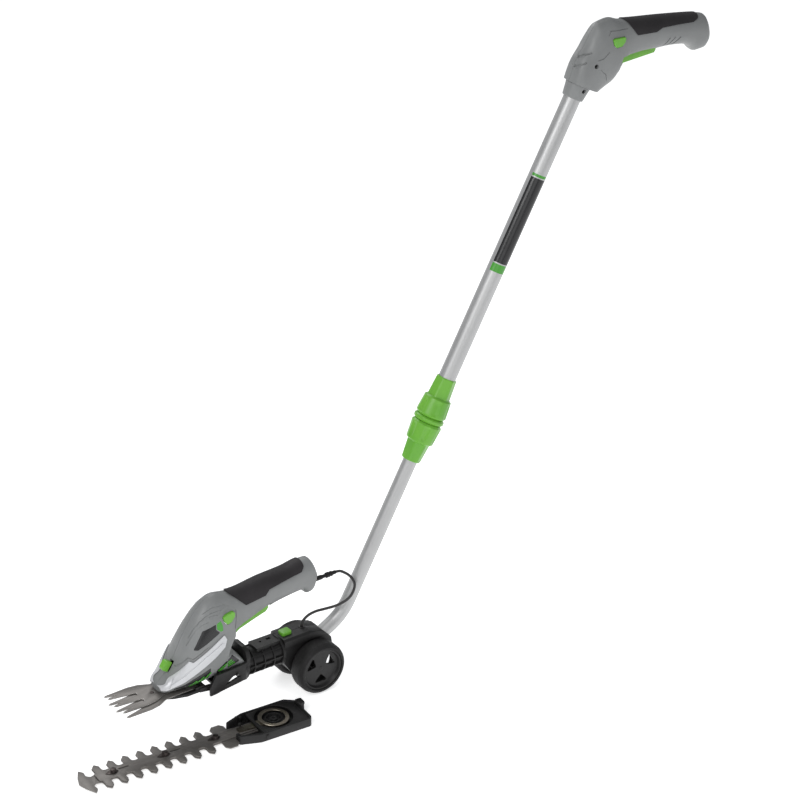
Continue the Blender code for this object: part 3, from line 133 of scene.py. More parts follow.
def latheShape(profile, place, steps):
    # (radius, height) pairs turned round the place's Z axis
    points, rows = [], []
    for radius, height in profile:
        if radius < tiny:
            rows.append([len(points)] * steps)
            points.append(place @ Vector((0, 0, height)))
            continue
        rows.append([len(points) + i for i in range(steps)])
        points += [place @ Vector((x, y, height)) for x, y in circle(radius, steps)]
    if profile[0][0] > tiny:
        rows.append(rows[0])
    faces = []
    for low, high in zip(rows, rows[1:]):
        for i in range(steps):
            corners = (low[i], low[(i + 1) % steps], high[(i + 1) % steps], high[i])
            face = tuple(dict.fromkeys(corners))
            if len(face) > 2:
                faces.append(face)
    return points, faces


def rodShape(radius, low, high, place, steps):
    return latheShape([(0, low), (radius, low), (radius, high), (0, high)], place, steps)


def pipeShape(path, radius, sides, wall=0.0):
    # a bar, or a pipe where there is a wall, along points in space
    spots = [Vector(point) for point in path]
    points, outer, inner = [], [], []
    side = Vector((0, 1, 0))
    for i, spot in enumerate(spots):
        ahead = (spots[min(i + 1, len(spots) - 1)] - spots[max(i - 1, 0)]).normalized()
        side = (side - ahead * side.dot(ahead)).normalized()
        up = ahead.cross(side)
        for size, rows in ((radius, outer), (radius - wall, inner)) if wall else ((radius, outer),):
            rows.append(len(points))
            points += [spot + size * (x * side + y * up) for x, y in circle(1, sides)]
    pairs = list(zip(outer, outer[1:])) + list(zip(inner, inner[1:]))
    if wall:
        pairs += [(outer[0], inner[0]), (outer[-1], inner[-1])]
    faces = [face for a, b in pairs for face in ringFaces(a, b, sides)]
    if not wall:
        faces += [tuple(range(row, row + sides)) for row in (outer[0], outer[-1])]
    return points, faces


def roundCorners(outline, radius, steps=6):
    result = []
    for i, corner in enumerate(outline):
        before, here, after = Vector(outline[i - 1]), Vector(corner), Vector(outline[(i + 1) % len(outline)])
        size = radius[i] if isinstance(radius, (list, tuple)) else radius
        inward, onward = (before - here).normalized(), (after - here).normalized()
        half = max(0.05, inward.angle(onward) / 2)
        length = min(size / math.tan(half), 0.46 * (before - here).length, 0.46 * (after - here).length)
        if length < 0.1 or half > 1.5:
            result.append(tuple(here))
            continue
        start, end = here + inward * length, here + onward * length
        for k in range(steps + 1):
            t = k / steps
            result.append(tuple(start * (1 - t) ** 2 + here * 2 * t * (1 - t) + end * t ** 2))
    return result


def rectangle(middle, length, width):
    x, y, a, b = middle[0], middle[1], length / 2, width / 2
    return [(x - a, y - b), (x + a, y - b), (x + a, y + b), (x - a, y + b)]


def alongY(x, y, z):
    return Matrix.Translation((x, y, z)) @ Matrix.Rotation(-math.pi / 2, 4, "X")


def alongX(x, y, z):
    return Matrix.Translation((x, y, z)) @ Matrix.Rotation(math.pi / 2, 4, "Y")


# Pieces

def meshFrom(name, shape, split):
    mesh = bpy.data.meshes.new(name)
    mesh.from_pydata([at(*point) for point in shape[0]], [], shape[1])
    work = bmesh.new()
    work.from_mesh(mesh)
    bmesh.ops.remove_doubles(work, verts=work.verts, dist=tiny)
    bmesh.ops.recalc_face_normals(work, faces=work.faces)
    if split:
        bmesh.ops.triangulate(work, faces=[face for face in work.faces if len(face.verts) == 4])
    work.to_mesh(mesh)
    work.free()
    return mesh


def softenShading(thing, angle):
    thing.data.shade_smooth()
    thing.data.set_sharp_from_angle(angle=math.radians(angle))


def addThing(name, shape, split=False):
    return linked(name, meshFrom(name, shape, split))


def settle(thing):
    # what the modifiers make becomes the plain mesh
    graph = bpy.context.evaluated_depsgraph_get()
    seen = thing.evaluated_get(graph)
    made = bpy.data.meshes.new_from_object(seen, preserve_all_data_layers=True, depsgraph=graph)
    thing.modifiers.clear()
    thing.data = made
    return thing


boolean = {"nudges": (0.0, 0.013, -0.017, 0.031), "fewest": 5, "share": 0.55}


def applyTool(thing, operation, tool):
    # a cut that comes back empty or in scraps is tried again with the tool a hair to one side
    before = thing.data.copy()
    least = boolean["fewest"]
    if operation != "INTERSECT":
        least = max(least, boolean["share"] * len(before.polygons))
    for nudge in boolean["nudges"]:
        tool.location = Vector((nudge, 0.6 * nudge, -0.8 * nudge)) * mm
        step = thing.modifiers.new(operation, "BOOLEAN")
        step.operation = operation
        step.solver = "EXACT"
        step.object = tool
        settle(thing)
        if len(thing.data.polygons) > least:
            return
        thing.data = before.copy()
    print("left out one cut on", thing.name)


def combine(thing, operation, *shapes, split=False):
    for shape in shapes:
        helper = addThing("helper", shape, split)
        applyTool(thing, operation, helper)
        bpy.data.objects.remove(helper)
    return thing


def cutAway(thing, *shapes, split=False):
    return combine(thing, "DIFFERENCE", *shapes, split=split)


def joinOn(thing, *shapes):
    return combine(thing, "UNION", *shapes)


def bevelEdges(thing, width, segments, angle=40.0, edgeSlot=-1):
    step = thing.modifiers.new("edges", "BEVEL")
    step.width = width * mm
    step.segments = segments
    step.limit_method = "ANGLE"
    step.angle_limit = math.radians(angle)
    step.use_clamp_overlap = True
    step.material = edgeSlot
    return settle(thing)


def finishPiece(thing, look, body, replaced=None, angle=32.0):
    thing.data.materials.clear()
    thing.data.materials.append(looks[look])
    softenShading(thing, angle)
    if body:
        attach(thing, body)
    if replaced:
        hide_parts(replaced)
    return thing


# Materials: each has its grain, its shifts of tone and its wear in its own nodes

def wire(tree, node, values):
    # each input gets its value, or is linked where a socket is given
    for name, value in values.items():
        if isinstance(value, bpy.types.NodeSocket):
            tree.links.new(value, node.inputs[name])
        else:
            node.inputs[name].default_value = value
    return node


def addNode(tree, kind, values):
    return wire(tree, tree.nodes.new(kind), values)


def startMaterial(name):
    material = bpy.data.materials.new(name)
    material.use_nodes = True
    tree = material.node_tree
    place = addNode(tree, "ShaderNodeTexCoord", {}).outputs["Object"]
    return material, tree, tree.nodes["Principled BSDF"], place


def noise(tree, source, scale, detail, rough):
    values = {"Scale": scale, "Detail": detail, "Roughness": rough, "Vector": source}
    return addNode(tree, "ShaderNodeTexNoise", values).outputs["Fac"]


def ramp(tree, source, low, high, start, end):
    values = {"From Min": low, "From Max": high, "To Min": start, "To Max": end, "Value": source}
    return addNode(tree, "ShaderNodeMapRange", values).outputs["Result"]


def blendColour(tree, factor, first, second):
    node = tree.nodes.new("ShaderNodeMix")
    node.data_type = "RGBA"
    first, second = ((*tone, 1.0) if isinstance(tone, tuple) else tone for tone in (first, second))
    return wire(tree, node, {0: factor, 6: first, 7: second}).outputs[2]


def bump(tree, source, strength, distance):
    values = {"Strength": strength, "Distance": distance, "Height": source}
    return addNode(tree, "ShaderNodeBump", values).outputs["Normal"]


# what all plastics and all metals have, where a look says nothing else: each noise's scale, detail and
# roughness (a look gives the scale of grain, lines and cloud), and the part of the noise that counts
plasticGrain = {"flow": (22.0, 3.0, 0.55), "fine": (2.0, 0.7), "scuff": (190.0, 6.0, 0.75),
                "flowSpan": (0.3, 0.7), "rubbedSpan": (0.62, 0.8), "roughSpan": (0.3, 0.75),
                "specular": 0.5, "height": 0.0002}
metalGrain = {"drawn": (5.0, 0.7), "soft": (4.0, 0.6), "cloudSpan": (0.35, 0.68), "streakSpan": (0.4, 0.75),
              "roughSpan": (0.3, 0.7), "metallic": 1.0, "height": 0.0001, "turn": (0.0, 0.0, 0.0)}


def mouldedPlastic(name, own):
    # fine spark-eroded grain, faint flow marks, and patches rubbed a little paler where a fine noise puts
    # them
    look = plasticGrain | own
    material, tree, shader, place = startMaterial(name)
    flow = noise(tree, place, *look["flow"])
    grain = noise(tree, place, look["grain"], *look["fine"])
    scuff = noise(tree, place, *look["scuff"])
    base = blendColour(tree, ramp(tree, flow, *look["flowSpan"], 0.0, 1.0), look["dark"], look["light"])
    rubbed = ramp(tree, scuff, *look["rubbedSpan"], 0.0, look["wear"])
    wire(tree, shader, {"Base Color": blendColour(tree, rubbed, base, look["worn"]),
                        "Roughness": ramp(tree, scuff, *look["roughSpan"], *look["rough"]),
                        "Specular IOR Level": look["specular"],
                        "Normal": bump(tree, grain, look["depth"], look["height"])})
    return material


def brushedMetal(name, own):
    # fine scratches drawn along one direction, and clouded patches where hands and twigs rub
    look = metalGrain | own
    material, tree, shader, place = startMaterial(name)
    values = {"Rotation": look["turn"], "Scale": look["stretch"], "Vector": place}
    drawn = addNode(tree, "ShaderNodeMapping", values).outputs["Vector"]
    lines = noise(tree, drawn, look["lines"], *look["drawn"])
    cloud = noise(tree, place, look["cloud"], *look["soft"])
    tone = blendColour(tree, ramp(tree, cloud, *look["cloudSpan"], 0.0, 1.0), look["dark"], look["light"])
    streaks = ramp(tree, lines, *look["streakSpan"], 0.0, look["streak"])
    wire(tree, shader, {"Base Color": blendColour(tree, streaks, tone, look["worn"]),
                        "Metallic": look["metallic"],
                        "Roughness": ramp(tree, lines, *look["roughSpan"], *look["rough"]),
                        "Normal": bump(tree, lines, look["depth"], look["height"])})
    return material


lean = math.radians(29.2)
lookValues = {
    "housingGrey": (mouldedPlastic, {
        "dark": (0.202, 0.207, 0.207), "light": (0.232, 0.238, 0.238), "worn": (0.3, 0.305, 0.305),
        "grain": 2600.0, "depth": 0.16, "rough": (0.36, 0.5), "wear": 0.2}),
    "blackPlastic": (mouldedPlastic, {
        "dark": (0.0085, 0.008, 0.0082), "light": (0.0155, 0.0148, 0.015), "worn": (0.045, 0.043, 0.042),
        "grain": 2400.0, "depth": 0.2, "rough": (0.4, 0.56), "wear": 0.3, "specular": 0.36}),
    "greenPlastic": (mouldedPlastic, {
        "dark": (0.12, 0.385, 0.03), "light": (0.17, 0.46, 0.042), "worn": (0.23, 0.53, 0.10),
        "grain": 2200.0, "depth": 0.1, "rough": (0.28, 0.4), "wear": 0.2}),
    "gripRubber": (mouldedPlastic, {
        "dark": (0.017, 0.015, 0.0165), "light": (0.027, 0.024, 0.026), "worn": (0.05, 0.046, 0.048),
        "grain": 1500.0, "depth": 0.5, "rough": (0.55, 0.75), "wear": 0.35, "specular": 0.35}),
    "tyreRubber": (mouldedPlastic, {
        "dark": (0.0095, 0.009, 0.0093), "light": (0.019, 0.018, 0.0185), "worn": (0.05, 0.048, 0.046),
        "grain": 900.0, "depth": 0.4, "rough": (0.55, 0.8), "wear": 0.45, "specular": 0.3}),
    "cordRubber": (mouldedPlastic, {
        "dark": (0.016, 0.0145, 0.0145), "light": (0.028, 0.026, 0.026), "worn": (0.06, 0.056, 0.055),
        "grain": 1200.0, "depth": 0.3, "rough": (0.4, 0.55), "wear": 0.3}),
    "silverPaint": (brushedMetal, {
        "dark": (0.58, 0.585, 0.605), "light": (0.65, 0.655, 0.67), "worn": (0.78, 0.78, 0.8), "streak": 0.15,
        "stretch": (1.0, 1.0, 1.0), "lines": 900.0, "cloud": 14.0,
        "rough": (0.3, 0.38), "depth": 0.006, "metallic": 0.15}),
    "poleAluminium": (brushedMetal, {
        "dark": (0.45, 0.45, 0.45), "light": (0.51, 0.51, 0.51), "worn": (0.62, 0.62, 0.62), "streak": 0.2,
        "turn": (0.0, -lean, 0.0), "stretch": (30.0, 30.0, 1.0), "lines": 26.0, "cloud": 9.0,
        "rough": (0.42, 0.5), "depth": 0.02, "metallic": 0.85}),
    "bladeSteel": (brushedMetal, {
        "dark": (0.145, 0.134, 0.125), "light": (0.2, 0.187, 0.176), "worn": (0.3, 0.285, 0.27),
        "streak": 0.4,
        "turn": (0.0, 0.0, math.radians(4)), "stretch": (1.0, 14.0, 1.0), "lines": 60.0, "cloud": 24.0,
        "rough": (0.4, 0.56), "depth": 0.1, "metallic": 0.5}),
    "groundEdge": (brushedMetal, {
        "dark": (0.4, 0.385, 0.365), "light": (0.52, 0.5, 0.475), "worn": (0.7, 0.69, 0.68), "streak": 0.3,
        "stretch": (6.0, 6.0, 6.0), "lines": 80.0, "cloud": 40.0,
        "rough": (0.2, 0.32), "depth": 0.06}),
    "plainSteel": (brushedMetal, {
        "dark": (0.055, 0.046, 0.044), "light": (0.1, 0.085, 0.08), "worn": (0.28, 0.25, 0.24), "streak": 0.3,
        "stretch": (4.0, 4.0, 20.0), "lines": 90.0, "cloud": 60.0,
        "rough": (0.3, 0.5), "depth": 0.12}),
    "ringBrass": (brushedMetal, {
        "dark": (0.17, 0.145, 0.11), "light": (0.28, 0.25, 0.20), "worn": (0.5, 0.47, 0.42), "streak": 0.5,
        "stretch": (8.0, 8.0, 1.0), "lines": 60.0, "cloud": 40.0,
        "rough": (0.28, 0.42), "depth": 0.1}),
    "decalBlack": (mouldedPlastic, {
        "dark": (0.010, 0.010, 0.011), "light": (0.014, 0.014, 0.015), "worn": (0.05, 0.05, 0.05),
        "grain": 5000.0, "depth": 0.03, "rough": (0.2, 0.28), "wear": 0.1}),
    "decalGreen": (mouldedPlastic, {
        "dark": (0.055, 0.30, 0.03), "light": (0.07, 0.35, 0.035), "worn": (0.12, 0.42, 0.08),
        "grain": 5000.0, "depth": 0.03, "rough": (0.2, 0.28), "wear": 0.1}),
}
looks = {name: make(name, values) for name, (make, values) in lookValues.items()}
# the record's material slot that each look stands for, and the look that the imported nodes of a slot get
slotOf = {"housingGrey": "grey_plastic", "blackPlastic": "black_plastic", "greenPlastic": "green_plastic",
          "gripRubber": "rubber", "tyreRubber": "tyre", "cordRubber": "rubber", "poleAluminium": "aluminium",
          "silverPaint": "silver_plastic", "bladeSteel": "steel", "plainSteel": "steel", "ringBrass": "brass",
          "decalBlack": "black_plastic", "decalGreen": "green_plastic"}
slotLooks = {slotOf[look]: look for look in (
    "blackPlastic", "housingGrey", "greenPlastic", "gripRubber", "tyreRubber", "poleAluminium", "plainSteel",
    "silverPaint", "ringBrass")}
for row in frame["record"]["subparts"]:
    node = bpy.data.objects.get(row["node"])
    if node is not None:
        node.data.materials.clear()
        node.data.materials.append(looks[slotLooks[row["material_slot"]]])
print("materials made:", len(looks))


# Repeated things: a tree that sets bars round a ring or along a row

def barTree(name, layout):
    # layout "ring" turns each bar to face outwards, "row" sets them side by side along X
    tree = bpy.data.node_groups.new(name, "GeometryNodeTree")
    tree.interface.new_socket(name="Bars", in_out="OUTPUT", socket_type="NodeSocketGeometry")
    inputs = {"Count": "Int", "Spread": "Float", "Bar Size": "Vector", "Finish": "Material"}
    for label, kind in inputs.items():
        tree.interface.new_socket(name=label, in_out="INPUT", socket_type="NodeSocket" + kind)
    given = addNode(tree, "NodeGroupInput", {}).outputs
    wires = {"Instance": addNode(tree, "GeometryNodeMeshCube", {"Size": given["Bar Size"]}).outputs["Mesh"]}
    if layout == "ring":
        base = addNode(tree, "GeometryNodeMeshCircle", {
            "Vertices": given["Count"], "Radius": given["Spread"]})
        spot = addNode(tree, "GeometryNodeInputPosition", {}).outputs["Position"]
        facing = addNode(tree, "FunctionNodeAlignRotationToVector", {"Vector": spot})
        facing.axis = "X"
        wires["Rotation"] = facing.outputs["Rotation"]
    else:
        step = addNode(tree, "ShaderNodeCombineXYZ", {"X": given["Spread"]}).outputs["Vector"]
        base = addNode(tree, "GeometryNodeMeshLine", {"Count": given["Count"], "Offset": step})
    wires["Points"] = base.outputs["Mesh"]
    bars = addNode(tree, "GeometryNodeInstanceOnPoints", wires).outputs["Instances"]
    real = addNode(tree, "GeometryNodeRealizeInstances", {"Geometry": bars}).outputs["Geometry"]
    paint = addNode(tree, "GeometryNodeSetMaterial", {"Geometry": real, "Material": given["Finish"]})
    addNode(tree, "NodeGroupOutput", {"Bars": paint.outputs["Geometry"]})
    return tree


barsInRing = barTree("barsInRing", "ring")
barsInRow = barTree("barsInRow", "row")


def addBars(name, tree, count, spread, size, look, place, body):
    # the place is a matrix in the part's millimetres, from the bars' own frame
    thing = linked(name, bpy.data.meshes.new(name))
    step = thing.modifiers.new("bars", "NODES")
    step.node_group = tree
    values = {"Count": count, "Spread": spread * mm, "Bar Size": tuple(value * mm for value in size),
              "Finish": looks[look]}
    for socket in tree.interface.items_tree:
        if socket.in_out == "INPUT":
            step[socket.identifier] = values[socket.name]
    settle(thing)
    turned = place.copy()
    turned.translation = at(*place.translation)
    thing.data.transform(turned)
    bevelEdges(thing, min(size) * 0.3, 2)
    return finishPiece(thing, look, body)


def softened(profile, soft, steps):
    # rounded corners, but for those on the axis
    return roundCorners(profile, [0.0 if radius < tiny else soft for radius, h in profile], steps)


def turnedPiece(name, profile, place, look, body, replaced, steps, soft=0.0, angle=32):
    outline = softened(profile, soft, 4) if soft else profile
    return finishPiece(addThing(name, latheShape(outline, place, steps)), look, body, replaced, angle)


# Cord from the block up to the plug on the head
cordPath = [(45.5, 0, 139.6), (49.5, -0.6, 139.5), (53.5, -2.2, 138.3), (60.2, -6, 133.3),
            (63.8, -10, 127.9), (64.9, -13, 121.9), (62.8, -14.5, 115.3), (58.0, -14.5, 107.6),
            (49.9, -13, 101.7), (38.2, -10, 97.8), (24.8, -6.5, 96.4), (14.0, -3.4, 95.4), (5.0, -1.2, 92.6),
            (-1.8, -0.2, 88.2), (-5.2, 0, 83.6), (-6.0, 0, 79.1)]
cordSize = {"diameter": 3.5, "steps": 6, "sides": 20}
plug = {"axis": 139.6, "steps": 40, "soft": 0.25,
        "profile": [(0, 6), (1.9, 6), (1.9, 12), (3.0, 12.5), (3.0, 24.5), (2.3, 25), (2.3, 30.0),
                    (3.5, 30.6), (3.5, 35.5), (2.8, 36.0), (2.8, 37.2), (3.3, 37.5), (3.3, 39.5), (2.5, 39.8),
                    (2.4, 45.2), (0, 45.2)]}
socket = {"steps": 48, "soft": 0.2, "profile": [(2.2, 3.5), (5.0, 3.5), (5.0, 9.9), (4.2, 10.7), (2.2, 10.7)]}


def curveThrough(points, steps):
    route = [Vector(point) for point in points]
    result = []
    for i in range(len(route) - 1):
        before, a, b, after = route[max(i - 1, 0)], route[i], route[i + 1], route[min(i + 2, len(route) - 1)]
        for k in range(steps):
            t = k / steps
            result.append(0.5 * (2 * a + (b - before) * t + (2 * before - 5 * a + 4 * b - after) * t * t
                                 + (3 * a - before - 3 * b + after) * t ** 3))
    return result + [route[-1]]


def buildCord():
    axis = alongX(0, 0, plug["axis"])
    plugThing = turnedPiece("fine_cord_plug", plug["profile"], axis, "blackPlastic", "head", "cord_plug",
                            plug["steps"], plug["soft"])
    turnedPiece("fine_power_socket", socket["profile"], axis, "blackPlastic", "head", "power_socket",
                socket["steps"], socket["soft"])
    path = curveThrough(cordPath, cordSize["steps"])[::-1]
    cordThing = addThing("powerCord", pipeShape(path, cordSize["diameter"] / 2, cordSize["sides"]))
    finishPiece(cordThing, "cordRubber", None, "cord", 60)
    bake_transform(cordThing)


buildCord()


# Moulded forms: a side view of top and bottom curves, and a rounded section at each station
clear = 60.0  # how far out a tool goes to be past any wall
bothSides = ((-1, "left"), (1, "right"))


def sideSpan(side, near, far):
    return sorted((side * near, side * far))


def smooth(points, x):
    if x <= points[0][0]:
        return points[0][1]
    if x >= points[-1][0]:
        return points[-1][1]
    slopes = [(b[1] - a[1]) / (b[0] - a[0]) for a, b in zip(points, points[1:])]
    tangents = [slopes[0]]
    for before, after in zip(slopes, slopes[1:]):
        tangents.append(0.0 if before * after <= 0 else 2 * before * after / (before + after))
    tangents.append(slopes[-1])
    i = max(k for k in range(len(slopes)) if x >= points[k][0])
    width = points[i + 1][0] - points[i][0]
    t = (x - points[i][0]) / width
    return (points[i][1] * (1 + 2 * t) * (1 - t) ** 2 + tangents[i] * width * t * (1 - t) ** 2
            + points[i + 1][1] * t * t * (3 - 2 * t) + tangents[i + 1] * width * t * t * (t - 1))


def halfSection(form, x, shrink, count):
    places = (x - abs(shrink), x, x + abs(shrink))
    inner, outer = (min, max) if shrink > 0 else (max, min)
    top = inner(smooth(form["top"], place) for place in places) - shrink
    bottom = outer(smooth(form["bottom"], place) for place in places) + shrink
    width = inner(smooth(form["width"], place) for place in places) - shrink
    crown = min(max(smooth(form["crown"], x), bottom + 1.0), top - 1.0)
    points = []
    for k in range(count + 1):
        turn = math.pi * (k / count - 0.5)
        power = 2 / (form["keel"] if turn < 0 else form["ridge"])
        reach = (top - crown) if turn > 0 else (crown - bottom)
        rise = math.copysign(abs(math.sin(turn)) ** power, turn)
        out = 0.0 if k in (0, count) else abs(math.cos(turn)) ** power
        points.append((width * out, crown + reach * rise))
    return points


def stationsFor(form, low, high, step):
    # even stations, closer where the form starts and ends, always with the form's own corners
    spots = {low, high} | {x for x in form["corners"] if low < x < high}
    x = low
    while x < high:
        spots.add(x)
        x += step * (0.35 if min(x - low, high - x) < 4 else 1.0)
    ordered = sorted(spots)
    return [a for a, b in zip(ordered, ordered[1:] + [1e9]) if b - a > 0.12]


def formShape(form, low, high, shrink, side, step, count, relief=None):
    points, rows = [], []
    for x in stationsFor(form, low, high, step):
        half = halfSection(form, x, shrink, count)
        if relief:
            half = [(max(0.0, y - relief(x, z)) if 0 < y else y, z) for y, z in half]
        if side:
            loop = [(x, side * (gap / 2 + y), z) for y, z in half]
        else:
            loop = [(x, y, z) for y, z in half] + [(x, -y, z) for y, z in half[-2:0:-1]]
        rows.append(len(points))
        points += loop
    ends = [tuple(range(rows[1])), tuple(range(len(points) - 1, rows[-1] - 1, -1))]
    return points, ends + [face for a, b in zip(rows, rows[1:]) for face in ringFaces(a, b, rows[1])]


def distanceTo(line, x, z):
    best = 1e9
    for (ax, az), (bx, bz) in zip(line, line[1:]):
        dx, dz = bx - ax, bz - az
        t = max(0.0, min(1.0, ((x - ax) * dx + (z - az) * dz) / (dx * dx + dz * dz)))
        best = min(best, math.hypot(x - ax - t * dx, z - az - t * dz))
    return best


def strokeOutline(line, width):
    # a band of that width along a line of points, rounded at its ends
    spots = [Vector(point) for point in line]
    left, right = [], []
    for i, spot in enumerate(spots):
        ahead = (spots[min(i + 1, len(spots) - 1)] - spots[max(i - 1, 0)]).normalized()
        aside = Vector((-ahead.y, ahead.x)) * width / 2
        left.append(tuple(spot + aside))
        right.append(tuple(spot - aside))
    return roundCorners(left + right[::-1], width * 0.45, 4)


def laidOn(name, form, outline, side, rise, sink, count=44):
    # a thin moulding or label that follows the form inside an outline drawn in side view
    xs = [point[0] for point in outline]
    low = max(form["span"][0], min(xs) - 3)
    high = min(form["span"][1], max(xs) + 3)
    thing = addThing(name, formShape(form, low, high, -rise, 0, 2.0, count), True)
    cutAway(thing, formShape(form, low - 4, high + 4, -sink, 0, 2.0 * 0.97, count), split=True)
    near, far = sideSpan(side, 2.0, clear) if side else (-clear, clear)
    return combine(thing, "INTERSECT", prismShape(outline, near, far))


def grooveTool(form, line, width, depth, side):
    tool = addThing("grooveTool", prismShape(strokeOutline(line, width), *sideSpan(side, 1.0, clear)))
    xs = [point[0] for point in line]
    low = max(form["span"][0] - 2, min(xs) - 4)
    high = min(form["span"][1] + 2, max(xs) + 4)
    cutAway(tool, formShape(form, low, high, depth, 0, 2.1, 36), split=True)
    return tool


def cutWith(thing, tools):
    for tool in tools:
        applyTool(thing, "DIFFERENCE", tool)
        bpy.data.objects.remove(tool)
    return thing


# Shear head: its curves, as measured for the part
headForm = {
    "span": (-219, 12), "hollow": (-216, 9), "keel": 2.6, "ridge": 2.2,
    "corners": (-214, -130, -128, -125.5, -121.5),
    "top": [(-219, 73), (-214, 78), (-206, 84.5), (-194, 101.5), (-179, 130.3), (-163, 153.7), (-148, 167.5),
            (-134, 172.3), (-122, 170), (-108, 167.6), (-60, 171), (-30, 172), (-8, 176), (2, 176.5),
            (8, 169.5), (12, 158.5)],
    "bottom": [(-219, 66), (-214, 64), (-130, 64), (-128, 76), (-125.5, 92), (-121.5, 104), (-113, 112),
               (-100, 116.5), (-80, 123.5), (-60, 131.3), (-45, 134.5), (-12, 137.5), (-2, 129), (5, 130),
               (9, 136.5), (12, 143)],
    "width": [(-219, 9.6), (-214, 16), (-205, 20), (-190, 26), (-165, 28), (-148, 27), (-130, 24.5),
              (-110, 21.5), (-98, 19), (-80, 17.5), (-60, 17), (-10, 16.5), (2, 15), (8, 12.5), (12, 9)],
    "crown": [(-219, 70), (-196, 79), (-160, 88), (-130, 98), (-116, 118), (-98, 130), (-80, 144), (-60, 151),
              (-10, 155), (12, 151)]}
footForm = {
    "span": (-140, -100.5), "hollow": (-134, -103.5), "keel": 2.6, "ridge": 2.4,
    "corners": (-130, -115, -106, -103),
    "top": [(-140, 104), (-126, 99), (-116, 92), (-108, 83), (-103, 76), (-100.5, 71)],
    "bottom": [(-140, 64.4), (-106, 64.4), (-100.5, 67)],
    "width": [(-140, 24.6), (-130, 23.7), (-120, 22.2), (-108, 20.3), (-103, 18.3), (-100.5, 15)],
    "crown": [(-140, 88), (-116, 84), (-103, 72), (-100.5, 69)]}
headLook = {
    "rubber": [(-117, 185), (-115.5, 169), (-108.4, 162.5), (-97.7, 151.6), (-69.2, 155.2), (-62.9, 161),
               (-39.7, 164.6), (-14.8, 167.9), (-9.4, 172.9), (-7, 185)],
    "trim": [(-222, 72), (-213, 78), (-202.1, 88), (-184.2, 105.8), (-179.8, 103.4), (-134.3, 125.5),
             (-130.7, 118.7), (-134.3, 109.4), (-150.3, 100.1), (-198.5, 78.2), (-211, 72.3), (-222, 70)],
    "trigger": [(-110, 103), (-106, 108.2), (-100.5, 112.2), (-82.5, 117.8), (-61.5, 123.8), (-58, 128),
                (-58, 142), (-69.5, 142), (-71, 131), (-84, 128), (-103, 121), (-112, 112)],
    "triggerPivot": (-64.0, 137.5),
    "triggerRecess": [(-117.2, 104), (-116, 122), (-115.1, 126), (-104, 129.4), (-90, 132), (-79, 134.9),
                      (-66.2, 138), (-58, 139.5), (-58, 100), (-112, 100)],
    "lock": [(-133.1, 147.5), (-128.7, 150), (-118.4, 151.3), (-115.9, 149.4), (-116, 144.3), (-120.8, 137.9),
             (-127, 136.1), (-131.5, 141.8)],
    "lockFace": -21.8, "lockPlay": 0.35,
    "plugHole": (5.3, 0, 24), "pinHole": (6, 63, 67), "pinPlace": (-194, 0, 0),
    # soft steps that sweep from the ridge down over the nose, as lines in side view
    "steps": [[(-120.3, 156.9), (-127.2, 160.9), (-135.6, 161.7), (-143.2, 161.9), (-149.4, 160),
               (-156.9, 156)],
              [(-132.1, 156.5), (-139.2, 157), (-147, 156.4), (-154.6, 153.5), (-162.7, 148),
               (-170.7, 139.5)],
              [(-138.4, 152.6), (-147.8, 153.3), (-155.3, 151.3), (-162.6, 147), (-170.9, 139),
               (-177.1, 130)],
              [(-151.3, 147.4), (-160.2, 145.4), (-168.2, 139.4), (-175.5, 130.3), (-181.4, 121.8)]],
    "creases": [[(-196.5, 96), (-184, 109.2), (-178.5, 107.3), (-158, 117.6)],
                [(-112.9, 151), (-113.6, 143), (-115.6, 133), (-117, 127.5)]],
    "panel": [(-176.7, 117.7), (-169.3, 128.4), (-162.1, 138.4), (-143.7, 142.5), (-144.5, 136),
              (-139.5, 130.4), (-171.7, 116.9)],
    "panelEnd": [(-142.4, 142.6), (-136.3, 144.4), (-134.3, 138), (-134.6, 131.3), (-138.3, 131.4),
                 (-143.2, 136.2)],
    "wedge": [(-207.5, 70.6), (-194, 75.6), (-181, 80.8), (-156.1, 88.2), (-157.7, 77.7), (-163, 66.2),
              (-182, 66.2)],
    "ventFront": [(-146.6, 74.4), (-146.4, 80.1), (-133.9, 86.2), (-130.3, 87.5), (-130.3, 75.7)],
    "vent": [(-129.7, 87.6), (-121.4, 90.9), (-110.8, 78.6), (-125.9, 76), (-129.7, 75.7)],
    "trimLine": [(-207.3, 79.6), (-188.4, 92.6), (-163.9, 106.3), (-138.8, 116.4), (-135.6, 115.1)],
    "facetLine": [(-201.4, 89.5), (-206.5, 81.5), (-211.4, 73.5)]}
contour = {"reach": 4.5, "deep": 0.5, "fall": 1.5}
cutting = {
    # walls, skins and recesses as the distances they reach from the housing or its middle
    "wall": 2.0, "recess": (5.9, 40), "skin": (1.5, 0.56), "handleSkin": (1.1, 0.56), "labelSink": -0.5,
    # grooves as width and depth; the trim stands over the housing, so its grooves have a depth below zero
    "crease": (0.9, 0.5), "stepLine": (0.6, 0.35), "knuckle": (1.7, 0.8), "finger": (1.4, 0.55),
    "trimLine": (1.7, -0.95), "facetLine": (0.8, -1.0)}
labels = (
    # name, form, outline, rounding of its corners, rise over the housing, look
    ("headPanel", headForm, "panel", 1.0, 0.22, "decalBlack"),
    ("headPanelEnd", headForm, "panelEnd", 0.6, 0.24, "decalGreen"),
    ("headWedge", headForm, "wedge", 1.2, 0.2, "decalBlack"),
    ("headVent", footForm, "vent", 1.2, 0.25, "decalBlack"),
    ("headVentFront", headForm, "ventFront", 1.2, 0.25, "decalBlack"))
stripeCount = 3
